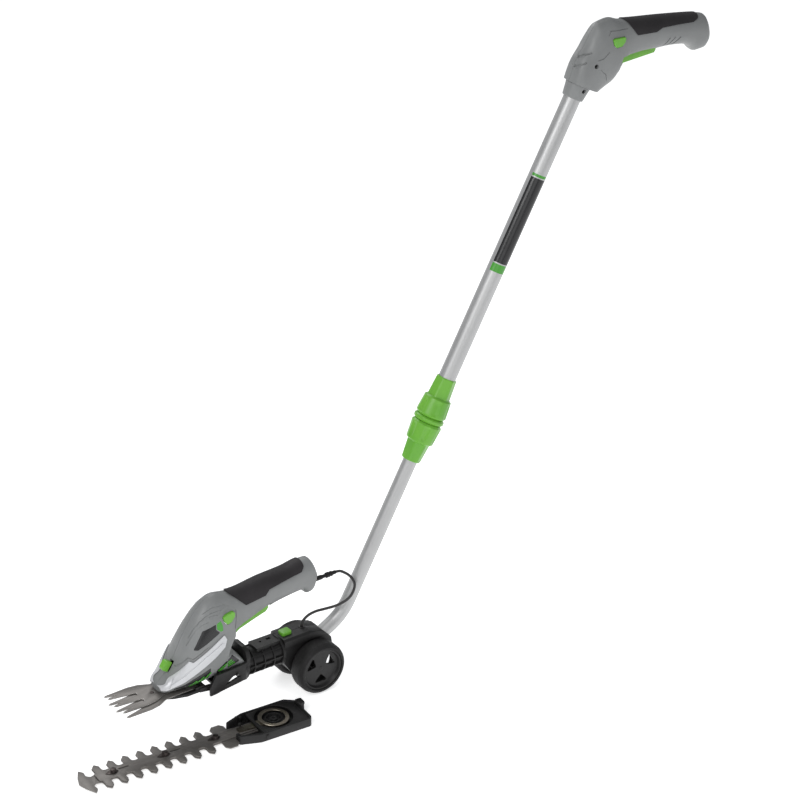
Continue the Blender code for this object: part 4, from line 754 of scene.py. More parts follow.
stripes = (
    # name, form, first start and the step to the next, first end and its step, width, rise
    ("wedgeStripe", headForm, (-186, 69.5), (8.0, 0.5), (-176, 76.5), (10.0, 2.6), 2.1, 0.5),
    ("ventStripeFront", headForm, (-145, 78.6), (1.5, -1.5), (-130.4, 83.6), (0, -2.9), 1.5, 0.55),
    ("ventStripe", footForm, (-129.6, 83.9), (0, -2.9), (-123.5, 85.6), (2.5, -2.7), 1.5, 0.55))


def offside(line, x, z):
    # which side of its nearest span a point is on
    (ax, az), (bx, bz) = min(zip(line, line[1:]), key=lambda span: distanceTo(span, x, z))
    return (bx - ax) * (z - az) - (bz - az) * (x - ax) > 0


def headRelief(x, z):
    # how far the contour steps take the wall in: each line is the lip of a shallow terrace
    reach, deep = contour["reach"], contour["deep"]
    depth = 0.0
    for line in headLook["steps"]:
        near = distanceTo(line, x, z)
        if near < reach and offside(line, x, z):
            depth += deep * (1 - near / reach) ** contour["fall"]
    return depth


release = {"half": 6.6, "top": 7.5, "foot": 2.5, "round": [3.5, 3.5, 0.5, 0.5], "sides": (-4.8, 2.2),
           "place": (-202.8, 94.8), "slope": math.radians(54.7),
           # its window in the housing, with room for the press
           "windowHalf": 7.2, "windowTop": 12, "windowFoot": 4, "windowSides": (-5.2, 2.6), "travel": 3.3}
triggerSlot = {"ahead": 3.5, "behind": 1.0, "half": 6.3, "under": 12, "over": 8}


def growOutline(outline, extra):
    middle = Vector((sum(p[0] for p in outline) / len(outline), sum(p[1] for p in outline) / len(outline)))
    return [tuple(Vector(p) + (Vector(p) - middle).normalized() * extra) for p in outline]


def releaseAxes():
    # its middle, and the ways along its face and out of it
    along = Vector((math.cos(release["slope"]), math.sin(release["slope"])))
    return Vector(release["place"]), along, Vector((-along.y, along.x))


def releaseWindow():
    middle, along, out = releaseAxes()
    half, travel = release["windowHalf"] * along, Vector((release["travel"], 0))
    top, foot = release["windowTop"] * out, release["windowFoot"] * out
    outline = [middle - half + top, middle + half + top, middle + half + travel,
               middle + half - foot + travel, middle - half - foot + travel, middle - half - foot]
    return prismShape([tuple(point) for point in outline], *release["windowSides"])


def slotShape(outline):
    xs, zs = [point[0] for point in outline], [point[1] for point in outline]
    low = (min(xs) - triggerSlot["ahead"], -triggerSlot["half"], min(zs) - triggerSlot["under"])
    high = (max(xs) + triggerSlot["behind"], triggerSlot["half"], max(zs) + triggerSlot["over"])
    return boxShape(low, high)


def hollowShape(form):
    return formShape(form, *form["hollow"], cutting["wall"], 0, 3.0, 22)


def shellHalf(name, form, side, relief=None):
    low, high = form["span"]
    return addThing("fine_" + name, formShape(form, low, high, 0, side, 1.7, 60, relief), True)


def grooves(form, lines, kind, side):
    return [grooveTool(form, line, *cutting[kind], side) for line in lines]


def recessShape(outline, side):
    return prismShape(outline, *sideSpan(side, *cutting["recess"]))


def lockHole(look):
    # through the left wall, with a little play round the button
    outline = growOutline(roundCorners(look["lock"], 1.5, 5), look["lockPlay"])
    return prismShape(outline, look["lockFace"] - 10, -9.3)


def buildHeadShells():
    plugHole = rodShape(*headLook["plugHole"], alongX(0, 0, plug["axis"]), 40)
    pinHole = rodShape(*headLook["pinHole"], Matrix.Translation(headLook["pinPlace"]), 32)
    holes = [slotShape(headLook["trigger"]), releaseWindow(), plugHole, pinHole]
    for side, name in bothSides:
        shell = shellHalf("head_shell_" + name, headForm, side, headRelief)
        combine(shell, "UNION", formShape(footForm, *footForm["span"], 0, side, 1.8, 44), split=True)
        cutAway(shell, hollowShape(headForm), hollowShape(footForm), split=True)
        cutAway(shell, *holes)
        cutAway(shell, recessShape(headLook["triggerRecess"], side))
        if side < 0:
            cutAway(shell, lockHole(headLook))
        cutWith(shell, grooves(headForm, headLook["creases"], "crease", side)
                + grooves(headForm, headLook["steps"], "stepLine", side))
        finishPiece(shell, "housingGrey", "head", "head_shell_" + name, 28)


def buildHeadSkins():
    grip = laidOn("fine_head_grip", headForm, roundCorners(headLook["rubber"], 1.5), 0, *cutting["skin"])
    finishPiece(grip, "gripRubber", "head", "head_grip", 35)
    for side, name in bothSides:
        outline = roundCorners(headLook["trim"], 1.4)
        trim = laidOn("fine_head_trim_" + name, headForm, outline, side, *cutting["skin"])
        cutWith(trim, grooves(headForm, [headLook["trimLine"]], "trimLine", side)
                + grooves(headForm, [headLook["facetLine"]], "facetLine", side))
        finishPiece(trim, "silverPaint", "head", "head_trim_" + name, 30)
        for label, form, outline, corner, rise, look in labels:
            shape = roundCorners(headLook[outline], corner)
            thing = laidOn(label + "_" + name, form, shape, side, rise, cutting["labelSink"])
            finishPiece(thing, look, "head")
        for k in range(stripeCount):
            for label, form, start, startStep, end, endStep, width, rise in stripes:
                line = [(spot[0] + k * step[0], spot[1] + k * step[1])
                        for spot, step in ((start, startStep), (end, endStep))]
                shape = strokeOutline(line, width)
                band = laidOn("%s_%s_%d" % (label, name, k), form, shape, side, rise, 0.1, 40)
                finishPiece(band, "decalGreen", "head")


buildHeadShells()
print("head shells")
buildHeadSkins()
print("head skins and labels")


# Buttons and triggers
trigger = {"half": 6, "round": 2.0, "hole": 1.8,
           "pin": [(0, -10), (1.2, -10), (1.5, -9.7), (1.5, 9.7), (1.2, 10), (0, 10)]}


def prismPiece(name, outline, low, high, look, body, bevel):
    thing = addThing("fine_" + name, prismShape(outline, low, high))
    bevelEdges(thing, bevel, 4, 50)
    return finishPiece(thing, look, body, name, 40)


def buildTrigger(name, look, holder):
    pivot = alongY(look["triggerPivot"][0], 0, look["triggerPivot"][1])
    outline = roundCorners(look["trigger"], trigger["round"], 7)
    thing = addThing("fine_" + name, prismShape(outline, -trigger["half"], trigger["half"]))
    bevelEdges(thing, 1.1, 4, 50)
    cutAway(thing, rodShape(trigger["hole"], -11, 11, pivot, 24))
    finishPiece(thing, "greenPlastic", name, name, 40)
    turnedPiece("fine_" + name + "_pin", trigger["pin"], pivot, "plainSteel", holder, name + "_pin", 24)


def buildLock(name, look):
    prismPiece(name, roundCorners(look["lock"], 1.5, 6), look["lockFace"], -9.8, "greenPlastic", name, 0.7)


def buildRelease():
    middle, along, out = releaseAxes()
    half, top, foot = release["half"] * along, release["top"] * out, release["foot"] * out
    cap = [middle - half + top, middle + half + top, middle + half - foot, middle - half - foot]
    outline = roundCorners([tuple(point) for point in cap], release["round"], 8)
    prismPiece("blade_release", outline, *release["sides"], "greenPlastic", "blade_release", 1.6)


buildTrigger("head_trigger", headLook, "head")
buildLock("head_lock_button", headLook)
buildRelease()
print("buttons on the head")


# Handle on the pole
handleForm = {
    "span": (392.5, 604.5), "hollow": (430, 601), "keel": 2.4, "ridge": 2.2,
    "corners": (394, 404, 444, 464, 468, 472, 582),
    "top": [(392.5, 714.7), (396.5, 726.3), (404.5, 743.8), (414.5, 756.5), (424, 771), (433, 780.3),
            (450, 782.6), (467, 776.7), (532, 765.6), (586, 756), (597.5, 753), (604.5, 738)],
    "bottom": [(392.5, 690), (404.5, 676), (429.5, 691), (438, 695), (450, 700), (462, 711), (468, 715.5),
               (474, 724.5), (525, 727), (560, 723), (572, 717.5), (582, 708.5), (595.4, 709),
               (604.5, 720.5)],
    "width": [(392.5, 12), (396, 15), (404, 18), (422, 20), (450, 19.5), (475, 17.5), (530, 17), (590, 15.5),
              (600, 12.5), (604.5, 8)],
    "crown": [(392.5, 706), (412, 718), (450, 738), (475, 751), (532, 746), (590, 732), (604.5, 726)]}
handleLook = {
    "rubber": [(472.5, 795), (473, 776.5), (477, 768), (483, 757.8), (512.8, 754.7), (522.6, 757.5),
               (548, 755.3), (573.4, 751.9), (582.4, 753.7), (587, 758), (588, 795)],
    "trigger": [(463.5, 712.5), (469.5, 720), (500, 721.3), (519, 722), (521.5, 726), (521, 742), (510, 742),
                (509, 731), (472, 731), (463, 722)],
    "triggerPivot": (515.5, 737.0),
    "triggerRecess": [(459.3, 705), (459.3, 725.3), (461.8, 733.9), (476.5, 733.8), (493.3, 733.9),
                      (511.9, 731.9), (520, 729.5), (522, 715), (462, 705)],
    "lock": [(445.2, 760.7), (447.7, 762), (462.7, 760.7), (464, 759.3), (462.9, 754.2), (458.1, 749.7),
             (449.8, 749.6), (446.3, 753.3)],
    "lockFace": -19.6, "lockPlay": 0.5,
    "creases": [[(425.3, 727.4), (433.9, 718.1), (435.8, 710.5)],
                [(440.5, 766.3), (443.6, 771.2), (470.3, 768.2)],
                [(438.7, 746.9), (429.8, 740.5), (421.5, 739.8)]],
    "knuckles": [[(403.5, 742.5), (409, 747.2), (416.4, 749.8)],
                 [(398.5, 731.5), (402.6, 736.4), (408.5, 739.3)]],
    "fingers": [[(526, 729.5), (535, 742)], [(533, 729.5), (543.5, 741)], [(540, 729.5), (552, 739)]],
    "screw": (419.3, 732.9), "collarScrew": (404.2, 702.3)}
screw = {"well": 2.9, "deep": 3.6, "clear": 6, "seat": 3.55, "steps": 28,
         # the head's profile, as radius and height over its seat
         "head": [(0, 0), (2.5, 0), (2.5, 0.7), (2.1, 1.0), (0.9, 1.0), (0.8, 0.5), (0, 0.5)]}
pole = {"foot": (70, 104), "innerRadius": 9.0, "outerRadius": 11.0, "wall": 1.2, "innerEnd": 420,
        "outerEnds": (216, 453, 712), "bend": 70.0, "bendTurn": math.radians(32), "bendSteps": 24,
        "straight": (18.4, -11.6), "tail": 34}


def onPole(along, aside=0.0):
    x, z = pole["foot"]
    return Vector((x + along * math.sin(lean) + aside * math.cos(lean), 0,
                   z + along * math.cos(lean) - aside * math.sin(lean)))


def poleFrame():
    return Matrix.Translation(onPole(0)) @ Matrix.Rotation(lean, 4, "Y")


def poleBlock(low, high, reach, half):
    corners = [onPole(low, -reach), onPole(low, reach), onPole(high, reach), onPole(high, -reach)]
    return prismShape([(point.x, point.z) for point in corners], -half, half)


def sideAt(form, x, z):
    # how far out the wall stands at a point of the side view
    best = min(halfSection(form, x, 0.0, 160), key=lambda point: abs(point[1] - z))
    return best[0] + gap / 2


def addHandleScrew(shell, side, name):
    x, z = handleLook["screw"]
    out = sideAt(handleForm, x, z)
    low, high = sideSpan(side, out - screw["deep"], out + screw["clear"])
    cutAway(shell, rodShape(screw["well"], low, high, alongY(x, 0, z), screw["steps"]))
    head = [(radius, side * height) for radius, height in screw["head"]]
    seat = alongY(x, side * (out - screw["seat"]), z)
    turnedPiece("handleScrew_%s_0" % name, head, seat, "blackPlastic", "pole", None, screw["steps"])


def buildHandle():
    foot, bore = poleBlock(610, 690, 63, 43), rodShape(11.3, 685, 716, poleFrame(), 48)
    for side, name in bothSides:
        shell = shellHalf("handle_shell_" + name, handleForm, side)
        cutAway(shell, hollowShape(handleForm), split=True)
        cutAway(shell, foot, bore, slotShape(handleLook["trigger"]))
        cutAway(shell, recessShape(handleLook["triggerRecess"], side))
        if side < 0:
            cutAway(shell, lockHole(handleLook))
        cutWith(shell, grooves(handleForm, handleLook["creases"], "crease", side)
                + grooves(handleForm, handleLook["knuckles"], "knuckle", side)
                + grooves(handleForm, handleLook["fingers"], "finger", side))
        addHandleScrew(shell, side, name)
        finishPiece(shell, "housingGrey", "pole", "handle_shell_" + name, 28)
    outline = roundCorners(handleLook["rubber"], 1.5)
    grip = laidOn("fine_handle_grip", handleForm, outline, 0, *cutting["handleSkin"])
    finishPiece(grip, "gripRubber", "pole", "handle_grip", 35)


buildHandle()
buildTrigger("handle_trigger", handleLook, "pole")
buildLock("handle_lock_button", handleLook)
print("handle")


# Pole, its bend and the twist lock
twistLock = {
    "lock_nut": [(9.3, 182), (11.3, 182), (12.3, 183), (14.6, 207), (17.4, 209), (17.7, 212), (19.2, 229.5),
                 (19.4, 231.5), (17.0, 234.5), (11.3, 234.5), (11.3, 206), (9.3, 203)],
    "lock_collar": [(11.3, 242.3), (17.0, 242.3), (19.4, 245.3), (19.2, 247.5), (17.7, 263.5), (17.4, 266.5),
                    (14.6, 268.5), (12.9, 293.5), (11.9, 294.5), (11.3, 294.5)],
    "lock_ring": [(11.3, 235.1), (17.4, 235.1), (19.4, 236.9), (19.4, 240.2), (17.4, 242), (11.3, 242)],
    "steps": 144, "ringPitch": 1.6, "boreRadius": 11.5, "boreSoft": 0.2, "soft": 0.8,
    # flutes: where they run, how deep, how many degrees from middle to edge, and how soon they fade out
    "fluted": {"lock_nut": (209.5, 233.5), "lock_collar": (243.3, 266)}, "fluteDeep": 1.5, "fluteHalf": 13,
    "fluteFade": 5, "fluteFrom": 15.0,
    # the necks are six-sided between these radii
    "neck": (11.6, 14.7), "neckFlat": 0.905}
handleCollar = {"profile": [(11.3, 672), (12.8, 672), (13.4, 673), (15.8, 689.7), (11.3, 689.7)], "steps": 96,
                "soft": 0.5, "well": (2.8, -24, -11.9), "screw": (2.6, -12.3, -11.8)}
poleLabels = (("poleLabel", 452, 566, "decalBlack"), ("poleLabelBand", 440, 450.5, "decalGreen"),
              ("poleLabelEnd", 567.5, 571, "decalGreen"))
labelWrap = {"radius": 11.06, "thick": 0.3, "start": -170, "span": 150, "columns": 25}


def bendPath():
    (high, low), radius, turn = pole["straight"], pole["bend"], pole["bendTurn"]
    centre = onPole(low, -radius)
    points = [tuple(onPole(along)) for along in (pole["innerEnd"], high, low)]
    for k in range(1, pole["bendSteps"] + 1):
        angle = lean + turn * k / pole["bendSteps"]
        points.append((centre.x + radius * math.cos(angle), 0, centre.z - radius * math.sin(angle)))
    tail = Vector(points[-1]) - pole["tail"] * Vector((math.sin(lean + turn), 0, math.cos(lean + turn)))
    return points + [tuple(tail)]


def buildTubes():
    lower = addThing("fine_lower_tube", pipeShape(bendPath(), pole["innerRadius"], 64, pole["wall"]))
    finishPiece(lower, "poleAluminium", "frame", "lower_tube")
    ends = [tuple(onPole(along)) for along in pole["outerEnds"]]
    upper = addThing("fine_upper_tube", pipeShape(ends, pole["outerRadius"], 72, pole["wall"]))
    finishPiece(upper, "poleAluminium", "pole", "upper_tube")


def fluteAt(turn, height, low, high):
    nearest, fade = (turn / (math.pi / 3) + 0.5) % 1.0 - 0.5, twistLock["fluteFade"]
    across = max(0.0, 1 - (nearest * 60 / twistLock["fluteHalf"]) ** 2)
    along = max(0.0, min(1.0, (height - low) / fade, (high - height) / fade))
    return twistLock["fluteDeep"] * across * along * along * (3 - 2 * along)


def fineProfile(profile):
    # extra rings along the straight runs, so that flutes can sink in smoothly
    result, longest = [], twistLock["ringPitch"]
    for (r, h), (nextR, nextH) in zip(profile, profile[1:] + profile[:1]):
        pieces = max(1, int(math.hypot(nextR - r, nextH - h) / longest))
        result += [(r + (nextR - r) * k / pieces, h + (nextH - h) * k / pieces) for k in range(pieces)]
    return result


def buildLockHalf(name, body):
    profile, (narrow, wide) = twistLock[name], twistLock["neck"]
    sizes = [twistLock["boreSoft"] if r < twistLock["boreRadius"] else twistLock["soft"] for r, h in profile]
    rings = fineProfile(roundCorners(profile, sizes, 3))
    points, faces = latheShape(rings, Matrix.Identity(4), twistLock["steps"])
    sunk = []
    for x, y, height in points:
        radius, turn = math.hypot(x, y), math.atan2(y, x) % (2 * math.pi)
        less = fluteAt(turn, height, *twistLock["fluted"][name]) if radius > twistLock["fluteFrom"] else 0.0
        if narrow < radius <= wide:
            facing = math.cos((turn + math.pi / 6) % (math.pi / 3) - math.pi / 6)
            less = radius - max(narrow, min(radius, twistLock["neckFlat"] * radius / facing))
        kept = 1 - less / radius
        sunk.append(poleFrame() @ Vector((x * kept, y * kept, height)))
    finishPiece(addThing("fine_" + name, (sunk, faces)), "greenPlastic", body, name, 40)


def buildTwistLock():
    buildLockHalf("lock_nut", "lock_nut")
    buildLockHalf("lock_collar", "pole")
    turnedPiece("fine_lock_ring", twistLock["lock_ring"], poleFrame(), "greenPlastic", "pole", "lock_ring",
                twistLock["steps"], 0.4)
    spot = alongY(handleLook["collarScrew"][0], 0, handleLook["collarScrew"][1])
    profile = roundCorners(handleCollar["profile"], handleCollar["soft"], 4)
    collar = addThing("fine_handle_collar", latheShape(profile, poleFrame(), handleCollar["steps"]))
    cutAway(collar, rodShape(*handleCollar["well"], spot, screw["steps"]))
    finishPiece(collar, "housingGrey", "pole", "handle_collar")
    head = addThing("collarScrew", rodShape(*handleCollar["screw"], spot, screw["steps"]))
    finishPiece(head, "blackPlastic", "pole")


def buildPoleLabel():
    # a plain printed panel on the side that faces out, with a green band at each end
    count, outer, inner = labelWrap["columns"], labelWrap["radius"], labelWrap["radius"] - labelWrap["thick"]
    turns = [math.radians(labelWrap["start"] + labelWrap["span"] * k / (count - 1)) for k in range(count)]
    for name, low, high, look in poleLabels:
        points, faces, rows = [], [], []
        for height in (low, high):
            for size in (outer, inner):
                rows.append(len(points))
                points += [poleFrame() @ Vector((size * math.cos(turn), size * math.sin(turn), height))
                           for turn in turns]
        for a, b in ((rows[0], rows[2]), (rows[3], rows[1]), (rows[1], rows[0]), (rows[2], rows[3])):
            faces += [(a + k, a + k + 1, b + k + 1, b + k) for k in range(count - 1)]
        faces += [tuple(row + k for row in (rows[0], rows[1], rows[3], rows[2])) for k in (0, count - 1)]
        finishPiece(addThing(name, (points, faces)), look, "pole")


buildTubes()
buildTwistLock()
buildPoleLabel()
print("pole and twist lock")


# Block between the wheels
front, swivelAxis = swivelPlace[0], swivelPlace[2]
block = {
    "top": 78.0, "half": 13.0, "shoulderHalf": 16.0, "hollow": 10.5, "axle": (3.3, -30, 30),
    "outline": [(front, 44), (-30, 26), (-14, 18), (10, 18), (24, 28), (31, 44), (29, 58), (16, 72),
                (-2, 78.0), (front, 78.0)],
    "rounding": [3, 6, 6, 8, 8, 8, 6, 6, 4, 1.5],
    "shoulder": [(front, 67), (20, 67), (14, 72), (-2, 78.0), (front, 78.0)],
    "inner": [(front + 2.5, 46), (-28, 29), (-13, 21), (9, 21), (21, 30), (26, 44), (14, 66), (0.5, 75.5),
              (front + 2.5, 75.5)],
    # across and up from the top edge, along both upper edges
    "chamfer": [(12.5, 1), (17, 1), (17, -3.5)],
    "cordHole": (4.3, 70, 86), "cordPlace": (-6, 0, 0), "swivelHole": (9.3, front - 5, front + 8)}
button = {"place": (-31, 0), "well": (14.6, 12.6, 3.3), "cap": (14, 12, 3.0), "flange": (15.4, 16),
          "capSpan": (74, 82), "flangeSpan": (72, 75.2)}
gland = [(2.05, 74), (5.5, 74), (5.5, 75.2), (4, 75.2), (4, 78.8), (2.05, 78.8)]
wheel = {
    "track": 26.0, "axis": 32, "half": 12.5, "radius": 34.0, "rimRadius": 28.0, "firstWindow": 28,
    # one window's corners, as radius and turn
    "window": [(8.0, 0.0), (22.0, 0.5), (22.0, -0.5)],
    "studs": (24, 24.9, (0.9, 0.5, 0.6))}
axle = [(0, -31.2), (2.5, -31.2), (3, -30.7), (3, 30.7), (2.5, 31.2), (0, 31.2)]


def padOutline(length, width, corner, steps):
    return roundCorners(rectangle(button["place"], length, width), corner, steps)


def buildBlock():
    tools = (prismShape(block["inner"], -block["hollow"], block["hollow"]),
             rodShape(*block["axle"], alongY(0, 0, wheel["axis"]), 40),
             pipeShape(bendPath()[3:], pole["innerRadius"] + gap, 48),
             prismShape(padOutline(*button["well"], 6), 72, 82, "Z"),
             rodShape(*block["cordHole"], Matrix.Translation(block["cordPlace"]), 40),
             rodShape(*block["swivelHole"], alongX(0, 0, swivelAxis), 48))
    outline = roundCorners(block["outline"], block["rounding"], 8)
    for side, name in bothSides:
        half = addThing("fine_block_" + name, prismShape(outline, *sideSpan(side, gap / 2, block["half"])))
        joinOn(half, prismShape(block["shoulder"], *sideSpan(side, gap / 2, block["shoulderHalf"])))
        chamfer = [(side * y, block["top"] + z) for y, z in block["chamfer"]]
        cutAway(half, prismShape(chamfer, front - 5, 40, "X"))
        bevelEdges(half, 0.8, 3, 30)
        cutAway(half, *tools)
        finishPiece(half, "blackPlastic", "frame", "block_" + name, 35)
    flange = rectangle(button["place"], *button["flange"])
    cap = addThing("fine_swivel_button", prismShape(padOutline(*button["cap"], 7), *button["capSpan"], "Z"))
    bevelEdges(cap, 1.1, 4, 50)
    joinOn(cap, prismShape(flange, *button["flangeSpan"], "Z"))
    finishPiece(cap, "greenPlastic", "swivel_button", "swivel_button", 40)
    place = Matrix.Translation(block["cordPlace"])
    turnedPiece("fine_cord_gland", gland, place, "cordRubber", "frame", "cord_gland", 40, 0.2)


def tyreProfile(half, radius, inner):
    return [(inner, -half), (radius - 3.5, -half), (radius - 1, -half + 2.5), (radius, -half + 6),
            (radius, half - 6), (radius - 1, half - 2.5), (radius - 3.5, half), (inner, half)]


def rimProfile(half, face, edge):
    # from the middle of the inner side, round the hub and the felloe, back over the outer face
    return [(0, face - 2), (3.3, face - 2), (3.3, -half + 4), (7.3, -half + 4), (7.3, face - 3),
            (edge - 3, face - 3), (edge - 3, -half + 1.5), (edge, -half + 1.5), (edge, half - 1.5),
            (edge - 2, half - 1.5), (edge - 3.5, face), (24.0, face), (23.4, face - 0.5), (3.0, face - 0.3),
            (2.4, face + 0.1), (0, face + 0.1)]


def buildWheel(side, name):
    middle, half = side * wheel["track"], wheel["half"]
    place, face = alongY(0, middle, wheel["axis"]), half - 5.0
    tyre = tyreProfile(half, wheel["radius"], wheel["rimRadius"])
    turnedPiece("fine_" + name + "_tyre", tyre, place, "tyreRubber", name, name + "_tyre", 128, 1.2, 45)
    profile = [(r, side * h) for r, h in rimProfile(half, face, wheel["rimRadius"] - gap)]
    profile = softened(profile, 0.45, 3)
    rim = addThing("fine_" + name + "_rim", latheShape(profile, place, 96))
    windows = []
    for k in range(3):
        turn = math.radians(120 * k + wheel["firstWindow"])
        flat = [(r * math.cos(turn + t), wheel["axis"] + r * math.sin(turn + t)) for r, t in wheel["window"]]
        depth = middle + side * face
        windows.append(prismShape(roundCorners(flat, 2.5, 7), depth - 7, depth + 7))
    cutAway(rim, *windows)
    finishPiece(rim, "blackPlastic", name, name + "_rim", 35)
    ring = place @ Matrix.Translation((0, 0, side * (face + 0.1)))
    addBars(name + "_studs", barsInRing, *wheel["studs"], "blackPlastic", ring, name)


buildBlock()
buildWheel(-1, "wheel_left")
buildWheel(1, "wheel_right")
turnedPiece("fine_axle", axle, alongY(0, 0, wheel["axis"]), "plainSteel", "frame", "axle", 40)
print("block and wheels")


# Neck and cradle under the head
neck = {"core": 15.5, "flange": 18.5, "start": -93.7, "flanges": (-87, -72.5, -58.5), "thick": 1.6,
        "plate": [(-79, -10.2), (front - 3, -9.5), (front - 3, 9.5), (-79, 10.2)],
        "ribTurns": (0, 38, -38), "ribStart": -93.2, "ribHalf": 0.8,
        "hole": (1.6, swivelAxis + 12, swivelAxis + 20), "holePlace": (-66.7, 1.5, 0),
        "slot": ((-54.5, 2), 6, 4)}
carrierStep = {"sides": (19.5, 24.6),
               "outline": [(-171, 56), (-159, 54.2), (-150, 52), (-150, 60), (-171, 61.6)]}
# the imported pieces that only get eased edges: look, bevel width, bevel angle and the look of ground edges
eased = {"cradle": ("blackPlastic", 0.45, 40.0, None), "blade_carrier": ("blackPlastic", 0.35, 40.0, None),
         "grass_blade_fixed": ("bladeSteel", 0.3, 50, "groundEdge"),
         "grass_blade_moving": ("bladeSteel", 0.3, 50, "groundEdge"),
         "spare_holder": ("blackPlastic", 0.5, 40.0, None), "spare_cover": ("blackPlastic", 0.3, 40.0, None),
         "spare_latch": ("blackPlastic", 0.4, 40.0, None)}


def buildNeck():
    core, flange = neck["core"], neck["flange"]
    profile = [(0, neck["start"]), (core, neck["start"])]
    for x in neck["flanges"]:
        profile += [(core, x), (flange, x), (flange, x + neck["thick"]), (core, x + neck["thick"])]
    profile += [(core, front - 4), (20, front - 4), (20, front - 0.5), (9, front - 0.5), (9, front + 7),
                (0, front + 7)]
    thing = addThing("fine_swivel_neck", latheShape(softened(profile, 0.3, 2), alongX(0, 0, swivelAxis), 72))
    plate = prismShape(roundCorners(neck["plate"], 1.0, 3), swivelAxis + 8, swivelAxis + flange, "Z")
    ribs, ribHalf = [], neck["ribHalf"]
    for turn in neck["ribTurns"]:
        points, faces = boxShape((neck["ribStart"], -flange, -ribHalf), (front - 3, flange, ribHalf))
        spin = Matrix.Translation((0, 0, swivelAxis)) @ Matrix.Rotation(math.radians(turn), 4, "X")
        ribs.append(([spin @ Vector(point) for point in points], faces))
    joinOn(thing, plate, *ribs)
    cutAway(thing, rodShape(*neck["hole"], Matrix.Translation(neck["holePlace"]), 28),
            prismShape(rectangle(*neck["slot"]), swivelAxis + 12, swivelAxis + 20, "Z"))
    finishPiece(thing, "blackPlastic", "head", "swivel_neck", 32)


def easeNode(node, look, bevel, angle, edgeLook):
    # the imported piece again, its loose triangles joined into faces and its edges eased
    source = bpy.data.objects[node]
    thing = linked("fine_" + node, source.data.copy())
    work = bmesh.new()
    work.from_mesh(thing.data)
    bmesh.ops.remove_doubles(work, verts=work.verts, dist=2 * tiny)
    bmesh.ops.dissolve_limit(work, angle_limit=math.radians(1.0), verts=work.verts, edges=work.edges)
    work.to_mesh(thing.data)
    work.free()
    thing.data.materials.clear()
    thing.data.materials.append(looks[look])
    if edgeLook:
        thing.data.materials.append(looks[edgeLook])
    bevelEdges(thing, bevel, 2, angle, 1 if edgeLook else -1)
    softenShading(thing, 35)
    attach(thing, source["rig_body"])
    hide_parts(node)


def buildCarrierStep():
    # the short ledge under the head, between the blade carrier and the cradle's claws
    for side, name in bothSides:
        reach = sideSpan(side, *carrierStep["sides"])
        ledge = addThing("carrierStep_" + name, prismShape(carrierStep["outline"], *reach))
        bevelEdges(ledge, 0.5, 2, 40)
        finishPiece(ledge, "blackPlastic", "head", None, 35)


buildNeck()
buildCarrierStep()
for node, values in eased.items():
    easeNode(node, *values)
print("neck, cradle, blades and holder")


# Spare hedge blade on the floor, in its own frame: u runs along it, v across it
spare = {"place": (-238.1, -49.4), "yaw": math.radians(-4.0), "floor": -2.0, "pitch": 19.8, "cup": 150.0,
         "bolts": (-69.5, 0.5, 69.5), "middle": 1.2}
plates = {"first": -83.8, "count": 8, "spine": 9.5, "neck": 5.0, "shoulder": 20.6, "reach": 25.3,
          "under": 3.2, "thick": 1.6, "bolt": 2.5, "slot": 6.5,
          # corners as along, across and rounding
          "tip": [(-115.2, 0.6, 0.4), (-111.7, 11.8, 4), (-104.6, 25.3, 0.4), (-99.6, 19.4, 5),
                  (-101.2, 11.5, 4), (-96.4, 7.4, 3)],
          "guard": [(72.8, 9.5, 1.5), (72.4, 20.5, 0.3), (77.0, 25.4, 0.4), (87.5, 25.4, 0.6),
                    (91.6, 20, 0.4), (91.8, 10, 0.5)],
          "movingTip": [(-91.8, 7.5, 1)], "movingEnd": [(92, 9.5, 2), (100, 8, 2), (123, 8, 0.5)],
          # a slit beside the first two bolts: where it runs from the bolt, and its width
          "slit": ((8, 2.6), (21.5, 2.2), 1.8)}
bolt = {"base": 3.2, "top": 6.7, "hexRadius": 4.1, "hexTurn": 12, "hexSpan": (7.7, 11.1),
        "leaf": [(-11.2, 0), (-5.0, 3.6), (1.5, 4.6), (6.3, 0), (1.5, -4.6), (-5.0, -3.6)],
        "leafRounding": [1.0, 3, 3, 1.0, 3, 3], "leafSpan": (6.85, 7.45)}
drive = {"ring": [(17.4, 7.0), (19.0, 7.0), (19.5, 7.5), (19.5, 10.5), (19.0, 11.0), (14.9, 11.0),
                  (14.6, 10.7), (14.6, 9.6), (17.4, 9.4)],
         "arm": [(100, 4.0), (131.8, 6.5), (131.8, -6.5), (100, -4.0)], "armSpan": (7.0, 8.6),
         "cup": [(0, 3.2), (13, 3.2), (13, 7.4), (10.2, 7.9), (10.2, 10.2), (9.2, 10.4), (8.8, 6.4),
                 (4.5, 6.2), (4.5, 9.2), (2.5, 9.4), (2.5, 7.2), (0, 7.2)],
         "teeth": (12, 8.0, (1.4, 0.9, 2.2)), "teethHeight": 7.2}
tray = {"posts": ((108.1, 19.3, 14.0), (113.2, 18.8, 13.0), (106.3, 6.8, 12.5)), "postRadius": 1.9,
        "ribs": (5, 5.6, (0.9, 6.0, 2.6)), "ribRows": {"trayRibsNear": -20.3, "trayRibsFar": 19.0},
        "ribStart": 106.0, "ribHeight": 4.3}


def onSpare(u, v):
    cos, sin = math.cos(spare["yaw"]), math.sin(spare["yaw"])
    return spare["place"][0] + u * cos - v * sin, spare["place"][1] + u * sin + v * cos


def spareFrame(u, v, height=0.0):
    x, y = onSpare(u, v)
    return Matrix.Translation((x, y, spare["floor"] + height)) @ Matrix.Rotation(spare["yaw"], 4, "Z")


def sparePrism(outline, low, high):
    return prismShape([onSpare(u, v) for u, v in outline], spare["floor"] + low, spare["floor"] + high, "Z")


